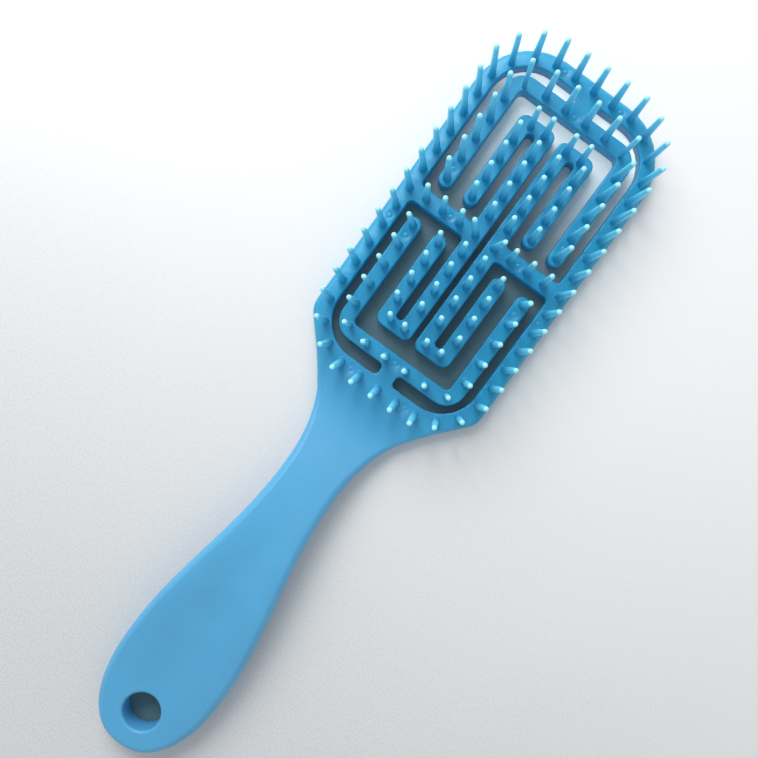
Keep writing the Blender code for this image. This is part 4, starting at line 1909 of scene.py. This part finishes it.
@dataclass
class Studio:
    """The pale table, the soft lights and the camera at the photograph's angle.

    Attributes:
        table: The table's finish.
        table_side: The table's side.
        table_drop: How far under the brush it lies.
        key_place: Where the brighter lamp hangs.
        key_size: Its side.
        key_watts: Its power.
        fill_place: Where the weaker lamp hangs.
        fill_size: Its side.
        fill_watts: Its power.
        sky: The sky's colour.
        sky_low: How bright it is from the horizon down.
        sky_high: How bright it is straight above.
        camera_place: Where the camera stands.
        camera_right: The way to the right in its picture.
        camera_down: The way down in its picture.
        camera_near: The nearest that it sees.
        focal_pixels: Its focal length, in pixels of the photograph.
        axis_pixels: The place in the photograph that it looks straight at.
        sensor: The width of its sensor, in millimetres.
    """

    table: PaleTable = PaleTable()
    table_side: float = 4.0
    table_drop: float = 0.00015
    key_place: Place = (-0.32, 0.29, 0.40)
    key_size: float = 0.40
    key_watts: float = 3.1
    fill_place: Place = (0.7, -0.5, 0.9)
    fill_size: float = 0.9
    fill_watts: float = 0.8
    sky: Colour = (0.98, 0.99, 1.0, 1.0)
    sky_low: float = 0.93
    sky_high: float = 0.30
    camera_place: Place = (0.00755, 0.0099, 0.2314)
    camera_right: Place = (0.80714, 0.58990, -0.02366)
    camera_down: Place = (0.59035, -0.80612, 0.04075)
    camera_near: float = 0.01
    focal_pixels: float = 790.0
    axis_pixels: Span = (377.3, 440.0)
    sensor: float = 36.0

    def lay_table(self, plan: HeadPlan, handle: HandleForm) -> bpy.types.Object:
        """Lays the table just under the brush.

        Args:
            plan: The head's plan.
            handle: The handle's form.

        Returns:
            The table.
        """
        half = self.table_side / 2
        mesh = bpy.data.meshes.new("table_top")
        corners = [(-half, -half, 0), (half, -half, 0), (half, half, 0), (-half, half, 0)]
        mesh.from_pydata(corners, [], [(0, 1, 2, 3)])
        mesh.materials.append(self.table.material("pale_table", plan, handle))
        obj = bpy.data.objects.new("table_top", mesh)
        obj.location.z = -self.table_drop
        bpy.context.scene.collection.objects.link(obj)
        return obj

    def hang_light(self, name: str, place: Sequence[float], size: float, watts: float) -> None:
        """Hangs a square lamp that faces the brush.

        Args:
            name: The lamp's name.
            place: Where it hangs.
            size: Its side.
            watts: Its power.
        """
        lamp = bpy.data.lights.new(name, "AREA")
        lamp.size = size
        lamp.energy = watts
        obj = bpy.data.objects.new(name, lamp)
        obj.location = place
        obj.rotation_euler = (-Vector(place)).to_track_quat("-Z", "Y").to_euler()
        bpy.context.scene.collection.objects.link(obj)

    def light_world(self) -> None:
        """Lights the scene softly from all round, and less from straight above."""
        world = bpy.data.worlds.new("soft_sky")
        world.use_nodes = True
        graph, dome = Graph(world.node_tree), world.node_tree.nodes["Background"]
        height = graph.coordinate(graph.node("TexCoord").outputs["Generated"], "Z")
        strength = graph.ramp(height, (0.0, 1.0), (self.sky_low, self.sky_high), "LINEAR")
        graph.feed(self.sky, dome.inputs["Color"])
        graph.feed(strength, dome.inputs["Strength"])
        bpy.context.scene.world = world

    def stand_camera(self) -> bpy.types.Object:
        """Stands the camera where the photograph was taken from.

        Returns:
            The camera.
        """
        right = Vector(self.camera_right).normalized()
        up = -Vector(self.camera_down)
        up = (up - right * up.dot(right)).normalized()
        back = right.cross(up)
        lens = bpy.data.cameras.new("photo_camera")
        lens.sensor_width = self.sensor
        lens.lens = self.sensor * self.focal_pixels / PHOTO_SIDE
        lens.shift_x = (PHOTO_SIDE / 2 - self.axis_pixels[0]) / PHOTO_SIDE
        lens.shift_y = (self.axis_pixels[1] - PHOTO_SIDE / 2) / PHOTO_SIDE
        lens.clip_start = self.camera_near
        obj = bpy.data.objects.new("photo_camera", lens)
        turn = Matrix((right, up, back)).transposed().to_4x4()
        obj.matrix_world = Matrix.Translation(self.camera_place) @ turn
        bpy.context.scene.collection.objects.link(obj)
        bpy.context.scene.camera = obj
        return obj

    def set_up(self, plan: HeadPlan, handle: HandleForm) -> None:
        """Sets up the table, the lights and the camera.

        Args:
            plan: The head's plan.
            handle: The handle's form.
        """
        self.lay_table(plan, handle)
        self.hang_light("window_light", self.key_place, self.key_size, self.key_watts)
        self.hang_light("fill_light", self.fill_place, self.fill_size, self.fill_watts)
        self.light_world()
        self.stand_camera()
        bpy.context.scene.view_settings.view_transform = "Standard"


def main() -> None:
    """Builds the brush and the studio, and reports each piece."""
    logging.basicConfig(level=logging.INFO, format="%(name)s: %(message)s")
    plan = HeadPlan()
    pins = PinPlan(plan)
    finish = MouldedPlastic()
    handle = HandleForm(plan)
    labyrinth = Labyrinth(plan, pins, finish)
    pieces = [Moulding(plan, handle, pins, finish).build()]
    pieces += [arm.build(plan, finish, labyrinth.edge) for arm in labyrinth.arms()]
    for piece in pieces:
        log.info("%s: %d faces", piece.name, len(piece.data.polygons))
    Studio().set_up(plan, handle)


if __name__ == "__main__":
    main()
